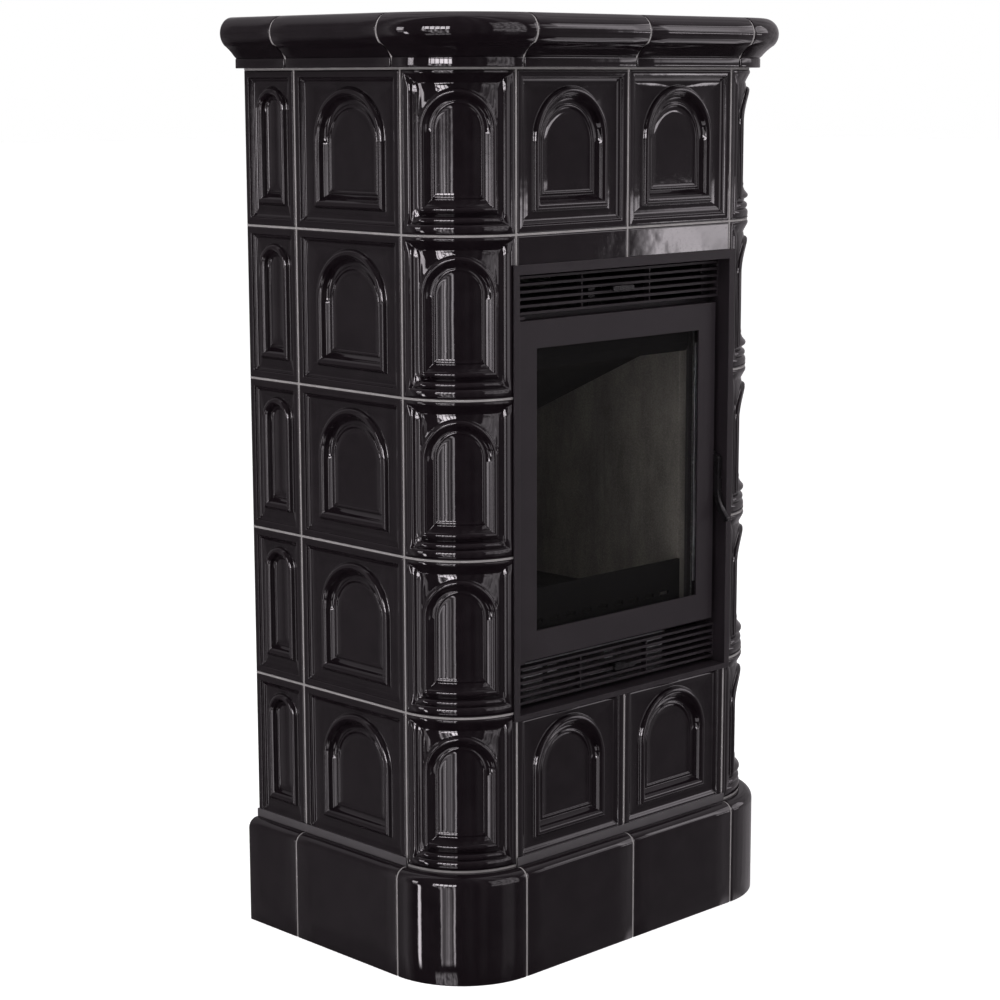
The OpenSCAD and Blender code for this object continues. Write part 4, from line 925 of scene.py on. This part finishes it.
compass = math_value(tree, "MULTIPLY", turn, 360.0)
height = math_value(tree, "MULTIPLY", math_value(tree, "ARCSINE", along.outputs["Z"]), 180 / math.pi)
room = add_node(tree, "ShaderNodeValToRGB", {0: turn})
room.color_ramp.interpolation = "EASE"
stops = room.color_ramp.elements
stops[0].position, stops[1].position = 0.0, 1.0
for angle, _ in ROOM[1:-1]:
    stops.new(angle / 360)
for stop, (_, strength) in zip(stops, ROOM):
    stop.color = (strength, strength, strength, 1)
clouds = spread(tree, noise_of(tree, toward, 7.0, 3.0, 0.55), 0.3, 0.7, 0.75, 1.3)
low = spread(tree, height, -36.0, -22.0, 0.06, 1.0)
high = spread(tree, height, 30.0, 70.0, 0.9, 2.0)
glow = math_value(tree, "MULTIPLY", math_value(tree, "MULTIPLY", room.outputs["Color"], clouds),
                  math_value(tree, "MULTIPLY", low, high))


def within(value, low_end, high_end, soft):
    """1 inside a range and 0 outside it, with soft ends."""
    rise = add_node(tree, "ShaderNodeMapRange", {0: value, 1: low_end - soft, 2: low_end + soft},
                    interpolation_type="SMOOTHSTEP")
    fall = add_node(tree, "ShaderNodeMapRange", {0: value, 1: high_end - soft, 2: high_end + soft,
                                                 3: 1.0, 4: 0.0}, interpolation_type="SMOOTHSTEP")
    return math_value(tree, "MULTIPLY", rise.outputs[0], fall.outputs[0])


def folds(across, up, seed, power=1.0):
    """Uneven light, as through a curtain: noise with its own scale across and up, from 0 to 1."""
    place = add_node(tree, "ShaderNodeCombineXYZ", {
        0: math_value(tree, "MULTIPLY", compass, across), 1: math_value(tree, "MULTIPLY", height, up),
        2: seed})
    uneven = spread(tree, noise_of(tree, place.outputs[0], 1.0, 1.5, 0.5), 0.33, 0.67)
    return math_value(tree, "POWER", uneven, power)


def patch(angles, heights, soft, dim, bright, uneven):
    """A glowing patch of the room between two angles and two heights."""
    area = math_value(tree, "MULTIPLY", within(compass, *angles, soft[0]),
                      within(height, *heights, soft[1]))
    return math_value(tree, "MULTIPLY", area, spread(tree, uneven, 0.0, 1.0, dim, bright))


def bars(value, pitch, thin):
    """Dark bars that repeat at a pitch, as between the lights of a lamp panel."""
    share = math_value(tree, "FRACT", math_value(tree, "DIVIDE", value, pitch))
    return within(share, thin, 1 - thin, thin / 2)


# The tall light on the left, which leans away lower down, and the barred panels over it
CURTAIN = {"angles": (150, 215.5), "heights": (-24.0, -1.0), "soft": (1.2, 1.5), "dim": 0.3,
           "bright": 13.0}
CURTAIN_EDGE = 187.0
PANELS = {"angles": (188.5, 217.0), "heights": (0.0, 16.0), "soft": (0.5, 0.5), "dim": 13.0,
          "bright": 26.0}
leaning = math_value(tree, "SUBTRACT", compass, spread(tree, height, -21.0, -11.0, 11.0, 0.0))
curtain = math_value(tree, "MULTIPLY", patch(**CURTAIN, uneven=folds(0.24, 0.03, 1.0, 2.6)),
                     within(leaning, CURTAIN_EDGE, 300.0, 1.0))
panels = math_value(tree, "MULTIPLY", bars(compass, 5.6, 0.09), bars(height, 8.0, 0.08))
panels = math_value(tree, "MULTIPLY", panels, patch(**PANELS, uneven=folds(0.06, 0.05, 2.0)))

# The other lights: angles, heights, soft ends, dim and bright, and the folds across, up and seed
LIGHTS = {
    "low_panels": ((188.5, 217.0), (-38.0, -29.0), (1.0, 1.5), (0.6, 3.5), (0.4, 0.3, 3.0)),
    "slim_low": ((166.0, 170.2), (-25.0, -15.0), (0.8, 3.0), (8.0, 20.0), (0.6, 0.1, 4.0)),
    "slim_middle": ((160.0, 167.0), (-15.0, -6.0), (1.0, 2.0), (0.5, 2.5), (0.6, 0.1, 5.0)),
    "slim_high": ((159.5, 167.0), (-4.0, 12.0), (0.8, 1.0), (5.0, 13.0), (0.5, 0.3, 6.0)),
    "pale_wall": ((262.0, 300.0), (-14.0, 38.0), (1.5, 2.0), (0.3, 2.3), (0.25, 0.12, 7.0)),
    "sill_ahead": ((317.8, 332.0), (-5.2, -2.7), (0.8, 0.35), (1.5, 8.0), (0.9, 0.35, 8.0)),
    "wall_ahead": ((318.0, 346.0), (2.5, 28.0), (1.5, 0.8), (0.6, 3.4), (0.05, 0.45, 8.0)),
    "wall_beside": ((308.0, 322.0), (7.0, 24.0), (3.0, 1.0), (0.3, 2.6), (0.05, 0.6, 10.0)),
    "floor_ahead": ((330.0, 352.0), (-46.0, -27.0), (3.0, 3.0), (0.5, 2.6), (0.1, 0.3, 9.0))}
glow = math_value(tree, "ADD", math_value(tree, "ADD", glow, curtain), panels)
for angles, heights, soft, (dim, bright), fold in LIGHTS.values():
    glow = math_value(tree, "ADD", glow, patch(angles, heights, soft, dim, bright, folds(*fold)))

unseen = mix_value(tree, mirrored_ray, ROOM_LEVEL, glow)
tree.links.new(mix_value(tree, seen, unseen, 1.0), background.inputs["Strength"])
tinted = math_value(tree, "MULTIPLY", mirrored_ray, math_value(tree, "SUBTRACT", 1.0, seen))
tree.links.new(mix_colour(tree, tinted, (1, 1, 1, 1), ROOM_TINT), background.inputs["Color"])


def area_lamp(name, place, toward_point, size, glow):
    """A soft rectangular lamp that faces a point, and that nothing mirrors."""
    light = bpy.data.lights.new(name, "AREA")
    light.shape = "RECTANGLE"
    light.size, light.size_y = size
    light.energy = glow * math.pi * size[0] * size[1]
    made = bpy.data.objects.new(name, light)
    bpy.context.scene.collection.objects.link(made)
    made.location = place
    made.rotation_mode = "QUATERNION"
    made.rotation_quaternion = (Vector(place) - Vector(toward_point)).to_track_quat("Z", "Y")
    made.visible_camera = False
    made.visible_transmission = False
    made.visible_glossy = False


area_lamp("overhead", (-0.6, -0.9, 3.2), (0, 0, 0.8), (2.4, 2.4), 2.3)
area_lamp("left_fill", (-3.0, 0.6, 1.6), (0, 0, 0.7), (1.6, 2.0), 2.2)
area_lamp("front_fill", (1.2, -3.0, 1.6), (0, 0, 0.7), (1.6, 2.0), 1.2)


# Camera: stands well to the left of the stove, a little lower than its cornice, and looks slightly
# down. Its place, lens and turn come from the tile joints of both faces in the photograph.
CAMERA_PLACE = Vector((-2.5137, -2.5331, 1.2605))
YAW = math.radians(44.3427)
PITCH_DOWN = math.radians(9.9727)
ROLL = math.radians(-0.1422)
LENS = 85.95

ahead = Vector((math.sin(YAW) * math.cos(PITCH_DOWN), math.cos(YAW) * math.cos(PITCH_DOWN),
                -math.sin(PITCH_DOWN)))
level = Vector((math.cos(YAW), -math.sin(YAW), 0))
upright = level.cross(ahead)
right = math.cos(ROLL) * level + math.sin(ROLL) * upright
up = -math.sin(ROLL) * level + math.cos(ROLL) * upright
camera_data = bpy.data.cameras.new("camera")
camera_data.sensor_width = 36.0
camera_data.lens = LENS
camera = bpy.data.objects.new("camera", camera_data)
bpy.context.scene.collection.objects.link(camera)
camera.matrix_world = Matrix((
    (right.x, up.x, -ahead.x, CAMERA_PLACE.x),
    (right.y, up.y, -ahead.y, CAMERA_PLACE.y),
    (right.z, up.z, -ahead.z, CAMERA_PLACE.z),
    (0, 0, 0, 1)))
bpy.context.scene.camera = camera
bpy.context.scene.view_settings.view_transform = "Standard"
